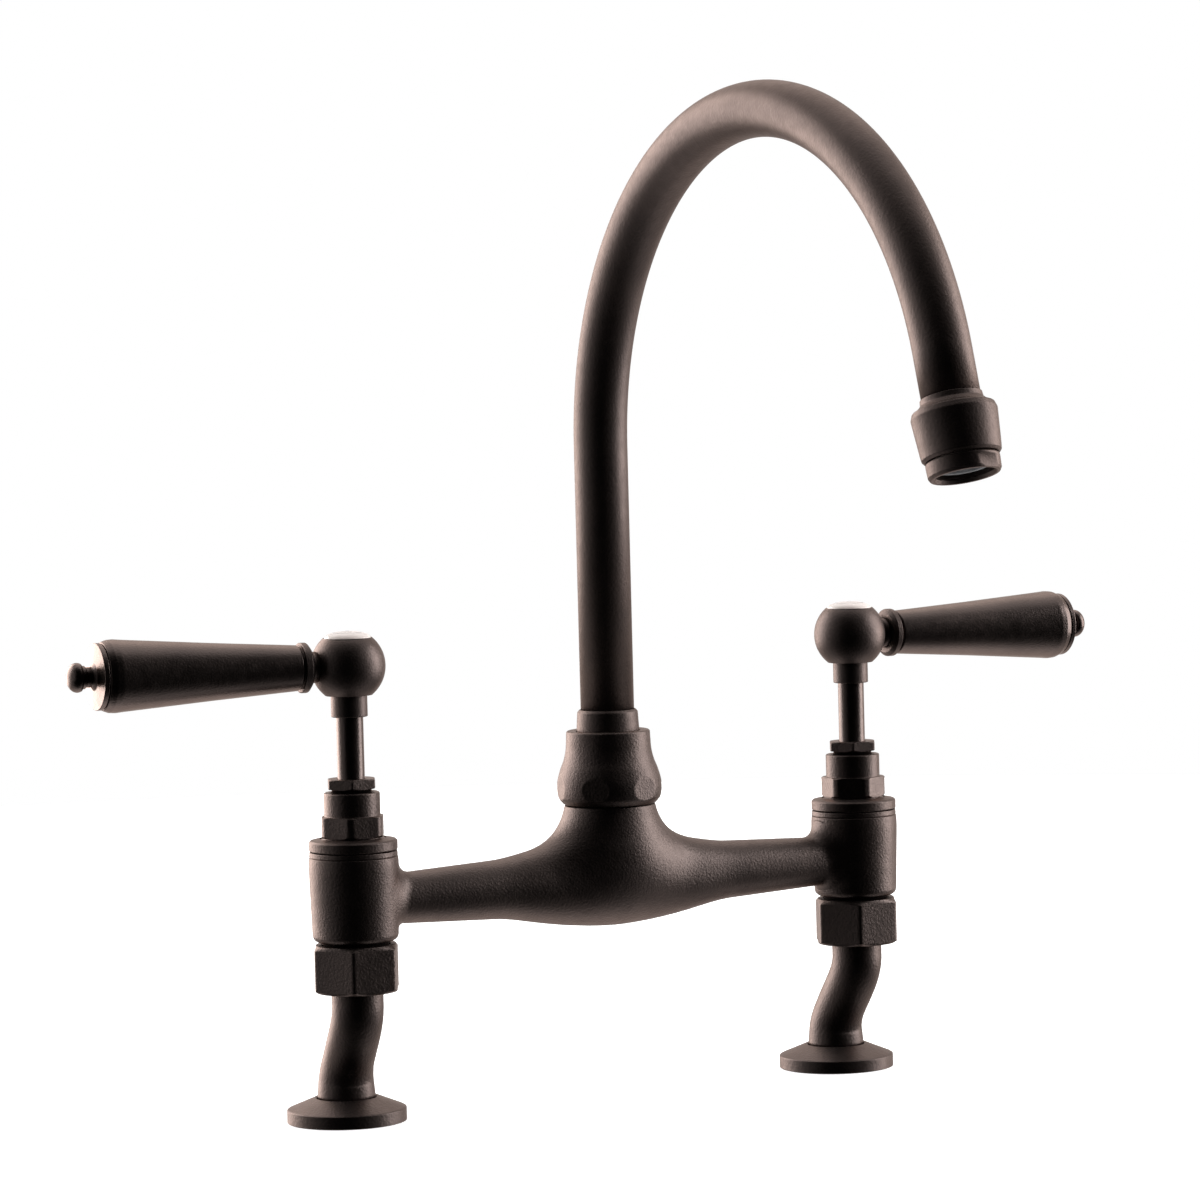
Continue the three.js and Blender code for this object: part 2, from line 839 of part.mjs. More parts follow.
function leverGroup(name, side) {
  const rest = LEVER_REST[name];
  const toRadians = THREE.MathUtils.degToRad;
  const group = new THREE.Group();
  const hub = new THREE.Group(); // the ball, turned so that its stud hole faces out
  hub.rotation.z = toRadians(rest.turn) + (side < 0 ? Math.PI : 0);
  const arm = new THREE.Group(); // the handle, tipped about the ball's centre
  arm.position.z = HUB_Z;
  arm.rotation.y = -toRadians(rest.tip);
  arm.add(
    piece(`lever_stud_${name}`, leverStud(), BRONZE_SATIN),
    piece(`lever_collar_${name}`, leverCollar(), BRONZE_SATIN),
    piece(`lever_grip_${name}`, leverGrip(), BRONZE_SATIN),
    piece(`lever_finial_${name}`, leverFinial(), BRONZE_SATIN),
  );
  hub.add(arm, piece(`lever_hub_${name}`, leverHub(), BRONZE_SATIN));
  group.add(
    hub,
    piece(`hub_screw_${name}`, hubScrew(), STEEL),
    piece(`index_disc_${name}`, indexDisc(), PORCELAIN),
    piece(`spindle_${name}`, spindle(), BRONZE_SATIN),
    piece(`turning_disc_${name}`, turningDisc(0.15), CERAMIC),
  );
  return group;
}

function valveGroup(name, side) {
  const group = new THREE.Group();
  group.position.x = side * HALF;
  const seatRing = ring(INLET_R + 0.2, 10.2, SEAT_Z + 0.2, SEAT_Z + 2.6);
  const unionSeal = ring(INLET_R + 0.2, 11.2, 52.7, 54.5);
  const discRing = turned(
    [
      [11.4, BONNET_DISC_Z[0]],
      [BONNET_DISC_R, BONNET_DISC_Z[0]],
      [BONNET_DISC_R, BONNET_DISC_Z[1] - 0.6],
      [BONNET_DISC_R - 0.5, BONNET_DISC_Z[1]],
      [11.4, BONNET_DISC_Z[1] + 0.7],
    ],
    FINE,
  );
  group.add(
    piece(`bonnet_${name}`, bonnet(side < 0 ? 0 : 0.42), BRONZE),
    piece(`bonnet_disc_${name}`, discRing, BRONZE),
    piece(`gland_nut_${name}`, glandNut(side < 0 ? 0.1 : 0), BRONZE),
    piece(`gland_packing_${name}`, ring(5.05, 6.9, 104.3, 108.1), RUBBER),
    piece(`fixed_disc_${name}`, ceramicDisc(8.4, SEAT_Z + 2.9, 73.2, 1.72), CERAMIC),
    piece(`seat_seal_${name}`, seatRing, RUBBER),
    piece(`union_nut_${name}`, unionNut(UNION_TURN[name]), BRONZE),
    piece(`union_washer_${name}`, unionSeal, FIBRE),
    piece(`leg_${name}`, leg(side), BRONZE),
  );
  const base = new THREE.Group();
  base.position.set(-side * CRANK_IN, CRANK_BACK, 0);
  base.add(
    piece(`deck_flange_${name}`, deckFlange(), BRONZE),
    piece(`base_gasket_${name}`, ring(12.5, 18.6, 0, 2.0), RUBBER),
  );
  group.add(base, leverGroup(name, side));
  return group;
}

// -------------------------------------------------------------------- spout
// centre line: straight rise, one round bend toward the user, short straight end
function spoutPath() {
  const up = new THREE.Vector3(0, 0, 1);
  const sweep = THREE.MathUtils.degToRad(BEND_SWEEP);
  const station = (y, z, angle) => ({
    centre: new THREE.Vector3(0, y, z),
    side: new THREE.Vector3(1, 0, 0),
    // across the tube, in the plane of the bend
    up: new THREE.Vector3(0, Math.cos(angle), Math.sin(angle)),
    angle,
  });
  const bend = (angle) =>
    station(-BEND_R * (1 - Math.cos(angle)), BEND_Z + BEND_R * Math.sin(angle), angle);
  const end = bend(sweep);
  const along = up.clone().applyAxisAngle(new THREE.Vector3(1, 0, 0), sweep);
  return { station, bend, end, along, sweep };
}

function spoutTube() {
  const { station, bend, end, along, sweep } = spoutPath();
  const steps = 18;
  const stations = [station(0, TUBE_FOOT, 0), station(0, 170, 0)];
  for (let i = 0; i <= steps; i++) stations.push(bend((sweep * i) / steps));
  const outlet = end.centre.clone().addScaledVector(along, OUTLET_STRAIGHT);
  stations.push({ ...end, centre: outlet });
  const outer = stations.map((s) => ({ ...s, radius: TUBE_R }));
  const inner = stations.map((s) => ({ ...s, radius: TUBE_BORE }));
  inner[0] = { ...inner[0], centre: new THREE.Vector3(0, 0, TUBE_FOOT - 1) };
  const past = outlet.clone().addScaledVector(along, 1);
  inner[inner.length - 1] = { ...inner.at(-1), centre: past };
  return cut(loft(outer, MID), loft(inner, PLAIN));
}

// solder ferrule: its foot flange is held down by the swivel nut's lip
const spoutFerrule = () =>
  turned(
    [
      [TUBE_R + 0.2, FERRULE_Z[0]],
      [12.6, FERRULE_Z[0]],
      [12.6, 122.9],
      [11.1, 122.9],
      [11.1, 131.5],
      [10.75, 137.2],
      [10.2, FERRULE_Z[1]],
      [TUBE_R + 0.2, FERRULE_Z[1]],
    ],
    FINE,
  );

// Nozzle pieces are turned with their axis along +Z, heights measured back from
// the end of the tube (0) to the outlet (negative), then set on the spout's end.
const nozzleBell = () =>
  turned(
    [
      [TUBE_R + 0.25, 2.5],
      [10.0, 2.3],
      [10.9, -0.6],
      [12.2, -0.9],
      [13.4, -1.8],
      [13.85, -3.4],
      [12.75, -16.6],
      [12.2, -17.6],
      [10.8, -17.6],
      [10.8, -5.0],
      [7.9, -5.0],
      [7.9, -0.4],
      [TUBE_R + 0.25, -0.4],
    ],
    FINE,
  );

function aeratorRing() {
  const shell = turned(
    [
      [11.85, -18.0],
      [11.7, -22.6],
      [11.3, -23.5],
      [10.2, -23.5],
      [9.5, -22.4],
      [9.5, -9],
      [10.5, -9],
      [10.5, -18.0],
    ],
    FINE,
  );
  // a pair of flats for a spanner
  const block = (y) => new THREE.BoxGeometry(8.3, 3, 6).translate(0, y, -22.5);
  return cut(shell, block(12.55), block(-12.55));
}

function aeratorInsert() {
  const body = turned(
    [
      [0, -19.6],
      [7.6, -19.6],
      [7.9, -20.6],
      [8.6, -20.9],
      [9.2, -20.6],
      [9.2, -9.4],
      [0, -9.4],
    ],
    MID,
  );
  const slots = [];
  for (const y of [-4.6, -2.3, 0, 2.3, 4.6]) {
    const half = Math.sqrt(6.6 ** 2 - y * y);
    slots.push(new THREE.BoxGeometry(2 * half, 1.2, 14).translate(0, y, -15));
  }
  return cut(body, ...slots);
}

function spoutGroup() {
  const group = new THREE.Group();
  const { end, along } = spoutPath();
  const nozzle = new THREE.Group();
  nozzle.position.copy(end.centre).addScaledVector(along, OUTLET_STRAIGHT);
  nozzle.quaternion.setFromUnitVectors(
    new THREE.Vector3(0, 0, 1),
    along.clone().negate(),
  );
  const outlet = new THREE.Group();
  outlet.rotation.z = THREE.MathUtils.degToRad(NOZZLE_TWIST);
  outlet.add(
    piece("aerator_ring", aeratorRing(), BRONZE_SATIN),
    piece("aerator_insert", aeratorInsert(), PLASTIC),
  );
  nozzle.add(
    piece("nozzle_bell", nozzleBell(), BRONZE_SATIN),
    piece("aerator_seal", ring(7.9, 10.4, -8.7, -5.3), RUBBER),
    outlet,
  );
  group.add(
    piece("spout_tube", spoutTube(), BRONZE_SATIN),
    piece("spout_ferrule", spoutFerrule(), BRONZE_SATIN),
    nozzle,
  );
  return group;
}

// ----------------------------------------------------------------- assembly
const faucet = new THREE.Group();
faucet.add(
  piece("bridge_body", bridgeBody(), BRONZE),
  piece("swivel_nut", swivelNut(), BRONZE),
  piece("swivel_washer", ring(10.2, 12.6, SPIGOT_TOP + SEAT_GAP, 119.9, MID), NYLON),
  valveGroup("left", -1),
  valveGroup("right", 1),
  spoutGroup(),
);

export default faucet;
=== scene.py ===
# %% [markdown]
# # A bridge kitchen faucet in dark bronze
#
# The construction model of the faucet is a frame that doesn't move: its pieces are
# plain facets at their real size. This lesson dresses that frame. Every piece that
# shows gets a fine mesh in the same place, and a finish made of shader nodes.
#
# All sizes are in millimetres and are turned into Blender's metres in one place.
# +Z is up, X runs along the bridge and -Y points at the person at the sink.

# %% Load the frame
import json
import math
from contextlib import contextmanager
from functools import partial

import bmesh
import bpy
import numpy as np
from mathutils import Matrix, Vector


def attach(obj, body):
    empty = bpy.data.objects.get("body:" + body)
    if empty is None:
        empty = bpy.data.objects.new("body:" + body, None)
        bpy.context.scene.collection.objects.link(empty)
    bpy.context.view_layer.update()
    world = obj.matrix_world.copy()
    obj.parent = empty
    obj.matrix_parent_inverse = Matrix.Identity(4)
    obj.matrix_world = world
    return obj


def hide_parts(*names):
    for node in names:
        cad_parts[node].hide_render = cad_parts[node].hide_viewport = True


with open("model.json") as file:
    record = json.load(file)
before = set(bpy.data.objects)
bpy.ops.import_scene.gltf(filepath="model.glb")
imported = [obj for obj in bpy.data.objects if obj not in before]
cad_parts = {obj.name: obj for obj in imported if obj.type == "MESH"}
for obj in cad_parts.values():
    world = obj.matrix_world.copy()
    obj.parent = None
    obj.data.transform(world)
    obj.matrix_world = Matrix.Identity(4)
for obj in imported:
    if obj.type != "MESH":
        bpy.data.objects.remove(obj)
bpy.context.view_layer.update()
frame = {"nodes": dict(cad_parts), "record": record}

# %% [markdown]
# ## Sizes that the pieces share
#
# A faucet is a row of fittings on a few axes, so most sizes are heights on one of
# three upright axes: the spout's, and the two valves'. Each valve's axis is half of
# the 8 inch spacing away from the spout, and the levers, legs and flanges hang on
# the valves.

# %% Driving sizes
MM = 0.001
WELD = 2e-6          # points nearer than this, in metres, are one point
HALF = 101.6         # spout axis to valve axis
SIDES = {"left": -1, "right": 1}
CRANK_BACK, CRANK_IN = 13.7, 1.4   # how far each leg steps back, and inward
HUB_Z = 159.4        # the levers' height
ARM_Z = 77.8         # the bridge arms' height
BEND_Z, BEND_R, BEND_SWEEP = 231.5, 113.0, math.radians(163.5)
OUTLET_STRAIGHT = 17.5
TUBE_R, TUBE_BORE, TUBE_FOOT = 9.47, 8.2, 109.0

# %% [markdown]
# ## Turned pieces
#
# Nearly every fitting was turned on a lathe. A lathe part is an outline swept round
# an axis, so its outline is all there is to draw. Turned edges are never perfectly
# sharp, and their little radius is what catches the light. Each corner of an outline
# can therefore carry a radius, and `rounded` swaps it for an arc, with a point close
# to each end of it, so that the shading stays flat on the flat stretch beside it.

# %% Round the corners of an outline
MOST = 0.46          # of each stretch, the share that a rounded corner may use up
STRAIGHT = math.radians(88)     # half the angle of a corner too flat to round


def rounded(corners, closed, fine=12.0, hold=0.12):
    """Points of an outline of (radius, height) corners; a third value rounds one."""
    points = []
    count = len(corners)
    for i, corner in enumerate(corners):
        here = np.array(corner[:2], float)
        radius = corner[2] if len(corner) > 2 else 0.0
        if not radius or (not closed and i in (0, count - 1)):
            points.append(here)
            continue
        back = np.array(corners[i - 1][:2], float) - here
        on = np.array(corners[(i + 1) % count][:2], float) - here
        room = (MOST * np.linalg.norm(back), MOST * np.linalg.norm(on))
        back, on = back / np.linalg.norm(back), on / np.linalg.norm(on)
        half = 0.5 * math.acos(np.clip(back @ on, -1, 1))
        if half > STRAIGHT:
            points.append(here)
            continue
        reach = min(radius / math.tan(half), *room)
        radius = reach * math.tan(half)
        centre = here + (back + on) / np.linalg.norm(back + on) * radius / math.sin(half)
        first, last = here + back * reach - centre, here + on * reach - centre
        sweep = math.pi - 2 * half
        steps = max(3, math.ceil(math.degrees(sweep) / fine))
        points.append(here + back * min(reach + hold, room[0] * 1.04))
        for k in range(steps + 1):
            t = k / steps
            turn = (math.sin((1 - t) * sweep) * first + math.sin(t * sweep) * last)
            points.append(centre + turn / math.sin(sweep))
        points.append(here + on * min(reach + hold, room[1] * 1.04))
    return points


def flowing(knots, steps=6):
    """A smooth run through a few (radius, height) points, for shapes filed by eye."""
    p = [np.array(k, float) for k in knots]
    p = [2 * p[0] - p[1], *p, 2 * p[-1] - p[-2]]
    run = []
    for a, b, c, d in zip(p, p[1:], p[2:], p[3:]):
        for k in range(steps):
            t = k / steps
            run.append(0.5 * (2 * b + (c - a) * t + (2 * a - 5 * b + 4 * c - d) * t * t
                              + (3 * b - a - 3 * c + d) * t ** 3))
    run.append(p[-2])
    return [tuple(q) for q in run]


print("points on a 1 mm corner:", len(rounded([(0, 0), (5, 0, 1), (5, 5)], False)) - 2)

# %% [markdown]
# A mesh of revolution is a grid: one row of points for each point of the outline.
# `shape_radius` may change a row's radius from angle to angle. A hexagon is then a
# turned blank whose radius is cut down to six flats, and stays one grid of quads.

# %% Sweep an outline round its axis
@contextmanager
def editing(mesh):
    """Opens a mesh for editing and writes it back afterwards."""
    work = bmesh.new()
    work.from_mesh(mesh)
    yield work
    work.to_mesh(mesh)
    work.free()


def add_object(name, mesh):
    thing = bpy.data.objects.new(name, mesh)
    bpy.context.scene.collection.objects.link(thing)
    return thing


def face_outward(work):
    if work.calc_volume(signed=True) < 0:
        bmesh.ops.reverse_faces(work, faces=work.faces)


def print_closed(name, mesh):
    with editing(mesh) as work:
        open_edges = sum(1 for e in work.edges if not e.is_manifold)
        print(name, len(work.faces), "faces,", open_edges, "open edges")


def mesh_object(name, vertices, faces, place=None):
    """A closed, outward-facing, smooth-shaded mesh from points in millimetres."""
    mesh = bpy.data.meshes.new(name)
    points = np.asarray(vertices, float) * MM
    mesh.from_pydata(points.tolist(), [], [list(map(int, f)) for f in faces])
    with editing(mesh) as work:
        bmesh.ops.remove_doubles(work, verts=work.verts, dist=WELD)
        bmesh.ops.dissolve_degenerate(work, edges=work.edges, dist=1e-7)
        if place is not None:
            bmesh.ops.transform(work, matrix=place, verts=work.verts)
        face_outward(work)
    mesh.shade_smooth()
    return add_object(name, mesh)


def grid_faces(rows, columns, wrap=True, start=0):
    """Quads between neighbouring rows of a grid of points."""
    across = np.arange(columns if wrap else columns - 1)
    right = (across + 1) % columns
    a = start + columns * np.arange(rows - 1)[:, None]
    b = a + columns
    return np.stack([a + across, a + right, b + right, b + across], -1).reshape(-1, 4)


def turned(name, corners, sides=96, place=None, shape_radius=None):
    """A lathe part: outline corners of (radius, height[, corner radius]) about Z."""
    closed = corners[0][0] > 0 and corners[-1][0] > 0
    outline = np.array(rounded(corners, closed))
    if closed:
        outline = np.vstack([outline, outline[:1]])
    angle = np.arange(sides) * 2 * math.pi / sides
    radius = np.repeat(outline[:, :1], sides, 1)
    height = np.repeat(outline[:, 1:], sides, 1)
    if shape_radius is not None:
        radius = shape_radius(radius, np.broadcast_to(angle, radius.shape), height)
    grid = np.stack([radius * np.cos(angle), radius * np.sin(angle), height], 2)
    faces = grid_faces(len(outline), sides)
    return mesh_object(name, grid.reshape(-1, 3), faces, place)


def soft_min(a, b, width):
    """The smaller of two values, with a rounded change-over of the given width."""
    h = np.maximum(width - np.abs(a - b), 0) / width
    return np.minimum(a, b) - h * h * width / 4


def flats(count, across, turn, edge=0.35):
    """Cuts a turned blank down to spanner flats. The first corner stands at the angle
    of the turn, and the corners are a little round."""
    def shape(radius, angle, height):
        step = 2 * math.pi / count
        off = (angle - turn) % step - step / 2
        near = across / 2 / np.cos(off)
        after = across / 2 / np.cos(step - np.abs(off))
        return soft_min(radius, soft_min(near, after, edge), edge)
    return shape


def stand(x=0.0, y=0.0, z=0.0):
    return Matrix.Translation(Vector((x, y, z)) * MM)


# %% [markdown]
# ## Finishes
#
# The faucet is brass under a dark, oil-rubbed coating. Close up the coating has an
# orange-peel swell about a millimetre across, a finer grain, and a browner tone where
# it lies thin on edges. Several materials need these effects at other strengths, so
# each is a node group that is built once. The groups give out only a height or a
# mask, and the Principled shader itself stays in each material.

# %% Node helpers
def feed(tree, target, **inputs):
    """Links or sets a node's inputs by name; _0, _1 and so on go by number."""
    for label, value in inputs.items():
        key = int(label[1:]) if label[0] == "_" else label.replace("_", " ")
        if isinstance(value, bpy.types.NodeSocket):
            tree.links.new(value, target.inputs[key])
        else:
            target.inputs[key].default_value = value
    return target


def node(tree, kind, settings=None, **inputs):
    """Adds a node, sets its properties and feeds its inputs."""
    made = tree.nodes.new(kind)
    for name, value in (settings or {}).items():
        setattr(made, name, value)
    return feed(tree, made, **inputs)


def maths(tree, how, *values, clamp=False):
    return node(tree, "ShaderNodeMath", {"operation": how, "use_clamp": clamp},
                **{f"_{i}": value for i, value in enumerate(values)}).outputs[0]


def new_group(kind, name, inputs, outputs):
    """A node group, what it is given, and the node that takes its results."""
    group = bpy.data.node_groups.new(name, kind)
    for label, (socket_type, value) in inputs.items():
        socket = group.interface.new_socket(
            label, in_out="INPUT", socket_type="NodeSocket" + socket_type)
        if value is not None:
            socket.default_value = value
    for label, socket_type in outputs.items():
        group.interface.new_socket(
            label, in_out="OUTPUT", socket_type="NodeSocket" + socket_type)
    given = group.nodes.new("NodeGroupInput").outputs
    return group, given, group.nodes.new("NodeGroupOutput")


def effect(name, output, **amounts):
    """A shader group that takes a place and some amounts and gives one number."""
    inputs = {"Vector": ("Vector", None)}
    inputs.update({key.replace("_", " "): ("Float", value)
                   for key, value in amounts.items()})
    return new_group("ShaderNodeTree", name, inputs, {output: "Float"})


def smooth_step(tree, value, low, high, top=1.0):
    """0 below low and top above high, with an S between; low may be the larger."""
    return node(tree, "ShaderNodeMapRange", {"interpolation_type": "SMOOTHSTEP"},
                Value=value, From_Min=low, From_Max=high, To_Max=top).outputs[0]


def noise(tree, vector, scale, detail, roughness, stretch=None):
    if stretch is not None:
        vector = node(tree, "ShaderNodeMapping", Vector=vector,
                      Scale=stretch).outputs[0]
    return node(tree, "ShaderNodeTexNoise", Vector=vector, Scale=scale,
                Detail=detail, Roughness=roughness).outputs["Fac"]


# %% Orange peel, worn edges and dust as node groups
def orange_peel_group():
    """Height in metres of a sprayed coat: a soft swell with a fine grain on it."""
    group, given, result = effect("OrangePeel", "Height", Swell_Size=0.0011,
                                  Swell_Height=0.00002, Grain_Height=0.000004)
    calc = partial(maths, group)
    per_metre = calc("DIVIDE", 1.0, given["Swell Size"])
    swell = noise(group, given["Vector"], per_metre, 1.0, 0.4)
    grain = noise(group, given["Vector"], calc("MULTIPLY", per_metre, 4.3), 2.0, 0.55)
    feed(group, result, Height=calc(
        "ADD", calc("MULTIPLY", swell, given["Swell Height"]),
        calc("MULTIPLY", grain, given["Grain Height"])))
    return group


def worn_edge_group():
    """Mask of the places where hands and cloths thin the coat: convex edges."""
    group, given, result = effect("WornEdge", "Mask", Amount=0.4, Start=0.53,
                                  End=0.62)
    shape = group.nodes.new("ShaderNodeNewGeometry").outputs["Pointiness"]
    edge = smooth_step(group, shape, given["Start"], given["End"])
    patches = noise(group, given["Vector"], 140.0, 3.0, 0.6)
    broken = maths(group, "MULTIPLY", edge, patches)
    feed(group, result,
         Mask=maths(group, "MULTIPLY", broken, given["Amount"], clamp=True))
    return group


def dust_group():
    """Mask of the little dust that settles on faces that look up."""
    group, given, result = effect("Dust", "Mask", Amount=0.05)
    normal = group.nodes.new("ShaderNodeNewGeometry").outputs["Normal"]
    up = node(group, "ShaderNodeSeparateXYZ", _0=normal).outputs["Z"]
    upward = node(group, "ShaderNodeMapRange", Value=up, From_Min=0.35).outputs[0]
    specks = noise(group, given["Vector"], 900.0, 3.0, 0.7)
    settled = maths(group, "MULTIPLY", upward, specks)
    feed(group, result,
         Mask=maths(group, "MULTIPLY", settled, given["Amount"], clamp=True))
    return group


def inked_mark_group():
    """Mask of a thin ring and a dot, drawn round an axis on either side of X."""
    group, given, result = effect(
        "InkedMark", "Mask", Axis_X=0.1016, Ring_Radius=0.0049,
        Line_Width=0.00032, Dot_Radius=0.0009)
    calc = partial(maths, group)
    place = node(group, "ShaderNodeSeparateXYZ", _0=given["Vector"]).outputs
    across = calc("SUBTRACT", calc("ABSOLUTE", place["X"]), given["Axis X"])
    radius = calc("SQRT", calc("ADD", calc("POWER", across, 2.0),
                               calc("POWER", place["Y"], 2.0)))
    off_ring = calc("ABSOLUTE", calc("SUBTRACT", radius, given["Ring Radius"]))
    half_line = calc("MULTIPLY", given["Line Width"], 0.5)
    marks = [calc("MULTIPLY", calc("SUBTRACT", limit, distance), INK_SHARPNESS,
                  clamp=True)
             for distance, limit in ((off_ring, half_line),
                                     (radius, given["Dot Radius"]))]
    feed(group, result, Mask=calc("MAXIMUM", *marks))
    return group


INK_SHARPNESS = 12000.0   # per metre: an inked edge fades out over 1/12 mm
ORANGE_PEEL, WORN_EDGE = orange_peel_group(), worn_edge_group()
DUST, INKED_MARK = dust_group(), inked_mark_group()
print("node groups:", ", ".join(group.name for group in bpy.data.node_groups))

# %% [markdown]
# A coat rubbed with oil over brass reflects like metal with a very dark colour: black
# when looked at straight on, brighter toward the rim, where it mirrors the bright
# room, and a little warm. The castings come out coarser and duller than the levers,
# which are handled and polished.

# %% Dark bronze
COAT_DEEP, COAT_THIN = (0.050, 0.0402, 0.0380, 1), (0.068, 0.0535, 0.0495, 1)
BARE_METAL, DUST_COLOUR = (0.20, 0.13, 0.10, 1), (0.30, 0.28, 0.26, 1)
GLANCING_TINT = (1.0, 0.86, 0.80, 1)


def new_material(name):
    """A material with its tree, its Principled shader and the object's coordinates."""
    material = bpy.data.materials.new(name)
    material.use_nodes = True
    tree = material.node_tree
    where = tree.nodes.new("ShaderNodeTexCoord").outputs["Object"]
    return material, tree, tree.nodes["Principled BSDF"], where


def use(tree, group, where, **values):
    """The one output of an effect's group."""
    return node(tree, "ShaderNodeGroup", {"node_tree": group}, Vector=where,
                **values).outputs[0]


def mix(tree, factor, a, b):
    return node(tree, "ShaderNodeMix", {"data_type": "RGBA"}, _0=factor, _6=a,
                _7=b).outputs[2]


def vary(tree, pattern, low, high):
    """A value that wanders between low and high with a 0 to 1 pattern."""
    return node(tree, "ShaderNodeMapRange", Value=pattern, From_Min=0.3, From_Max=0.7,
                To_Min=low, To_Max=high).outputs[0]


def bump(tree, height):
    return node(tree, "ShaderNodeBump", Distance=1.0, Strength=1.0,
                Height=height).outputs["Normal"]


def dark_bronze(name, rough, swell, swell_height, grain_height, wear=0.3):
    material, tree, shader, where = new_material(name)
    cloud = noise(tree, where, 38.0, 4.0, 0.6)
    coat = mix(tree, vary(tree, cloud, 0.0, 1.0), COAT_DEEP, COAT_THIN)
    coat = mix(tree, use(tree, WORN_EDGE, where, Amount=wear), coat, BARE_METAL)
    coat = mix(tree, use(tree, DUST, where, Amount=0.03), coat, DUST_COLOUR)
    fine = noise(tree, where, 310.0, 3.0, 0.6)
    peel = use(tree, ORANGE_PEEL, where, Swell_Size=swell,
               Swell_Height=swell_height, Grain_Height=grain_height)
    feed(tree, shader, Base_Color=coat, Metallic=1.0, Specular_Tint=GLANCING_TINT,
         Roughness=vary(tree, fine, rough - 0.035, rough + 0.035),
         Normal=bump(tree, peel))
    return material


# roughness, then the swell's width and height and the grain's height in metres
BRONZE_CAST = dark_bronze("bronze_cast", 0.46, 0.0008, 0.000115, 0.000016)
BRONZE_TUBE = dark_bronze("bronze_tube", 0.50, 0.0009, 0.000070, 0.000010)
BRONZE_NUT = dark_bronze("bronze_nut", 0.42, 0.0008, 0.000110, 0.000016, wear=0.5)
BRONZE_LEVER = dark_bronze("bronze_lever", 0.32, 0.0007, 0.000060, 0.000010, wear=0.15)
BRONZE_HUB = dark_bronze("bronze_hub", 0.46, 0.0007, 0.000065, 0.000012)
print("the coat reflects from", COAT_DEEP[:3], "to", COAT_THIN[:3])

# %% [markdown]
# The hidden and small pieces are seen when the faucet is taken apart, so they have
# their own finishes too: glazed porcelain, bright turned steel, black rubber, red
# fibre, natural nylon, lapped ceramic and the aerator's moulded grey plastic.

# %% Porcelain, steel, rubber and the rest
def plain_finish(name, low, high, rough, size, height, metallic=0.0, stretch=None):
    """A tone that wanders between two colours in patches, over a faint relief."""
    material, tree, shader, where = new_material(name)
    tone = noise(tree, where, 1.0 / size, 3.0, 0.55, stretch)
    feed(tree, shader, Metallic=metallic,
         Base_Color=mix(tree, vary(tree, tone, 0.0, 1.0), (*low, 1), (*high, 1)),
         Roughness=vary(tree, tone, rough * 0.88, rough * 1.12),
         Normal=bump(tree, maths(tree, "MULTIPLY", tone, height)))
    return material


def porcelain(ink=(0.10, 0.085, 0.08, 1)):
    """White glaze with a thin inked ring and dot in place of a word."""
    material = plain_finish("porcelain", (0.76, 0.67, 0.625), (0.81, 0.72, 0.675),
                            0.25, 0.006, 0.000003)
    tree = material.node_tree
    shader = tree.nodes["Principled BSDF"]
    where = tree.nodes.new("ShaderNodeTexCoord").outputs["Object"]
    glaze = shader.inputs["Base Color"].links[0].from_socket
    feed(tree, shader, Specular_IOR_Level=0.2,
         Base_Color=mix(tree, use(tree, INKED_MARK, where), glaze, ink))
    return material


PORCELAIN = porcelain()
STEEL = plain_finish("turned_steel", (0.42, 0.41, 0.40), (0.62, 0.61, 0.60), 0.28,
                     0.0004, 0.000004, 1.0, (1, 1, 9))
RUBBER, NYLON, CERAMIC, FIBRE, GREY_PLASTIC = (plain_finish(*sizes) for sizes in (
    ("black_rubber", (0.012,) * 3, (0.030,) * 3, 0.72, 0.0008, 0.00002),
    ("natural_nylon", (0.66, 0.62, 0.53), (0.74, 0.71, 0.62), 0.5, 0.002, 0.00001),
    ("lapped_ceramic", (0.78, 0.77, 0.72), (0.84, 0.83, 0.79), 0.2, 0.0015, 0.000002),
    ("red_fibre", (0.15, 0.03, 0.022), (0.26, 0.065, 0.045), 0.85, 0.0006, 0.00004),
    ("aerator_plastic", (0.10, 0.10, 0.105), (0.16, 0.16, 0.165), 0.42, 0.001,
     0.00001)))
print(len(bpy.data.materials), "materials, with the frame's own")

# %% [markdown]
# ## Fitting a piece to the frame
#
# A piece that stands for a construction node takes over its place: it rides on the
# same moving body, hides that node, and takes its material. One
# helper does all of this. Most turned pieces come as a left and a right one, which a
# second helper makes from one outline.

# %% Fit a finished piece
body_of = {name: body for body, names in
           frame["record"]["behaviour"]["bodies"].items() for name in names}


def fit(piece, node, material):
    """The piece stands for this construction node, with this finish."""
    piece.data.materials.clear()
    piece.data.materials.append(material)
    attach(piece, body_of[node])
    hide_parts(node)


def fit_both(part, material, make):
    """The left and the right one of a piece; make takes a name and a side."""
    for label, side in SIDES.items():
        fit(make(f"{part}_{label}_fine", side), f"{part}_{label}", material)
    print("fitted", part, "left and right")


def on_valve(side):
    return stand(side * HALF)


def turned_pair(part, material, corners, sides=96, place=on_valve, cut=None):
    """A turned piece for both sides; cut gives the shape of a side's flats."""
    fit_both(part, material, lambda name, side: turned(
        name, corners, sides, place(side), cut(side) if cut else None))


def hexagon(across, turns, edge, is_cut):
    """Spanner flats for each side's own angle, wherever is_cut says there are any."""
    def for_side(side):
        ground = flats(6, across, turns[side], edge)
        return lambda radius, angle, height: np.where(
            is_cut(radius, height), ground(radius, angle, height), radius)
    return for_side


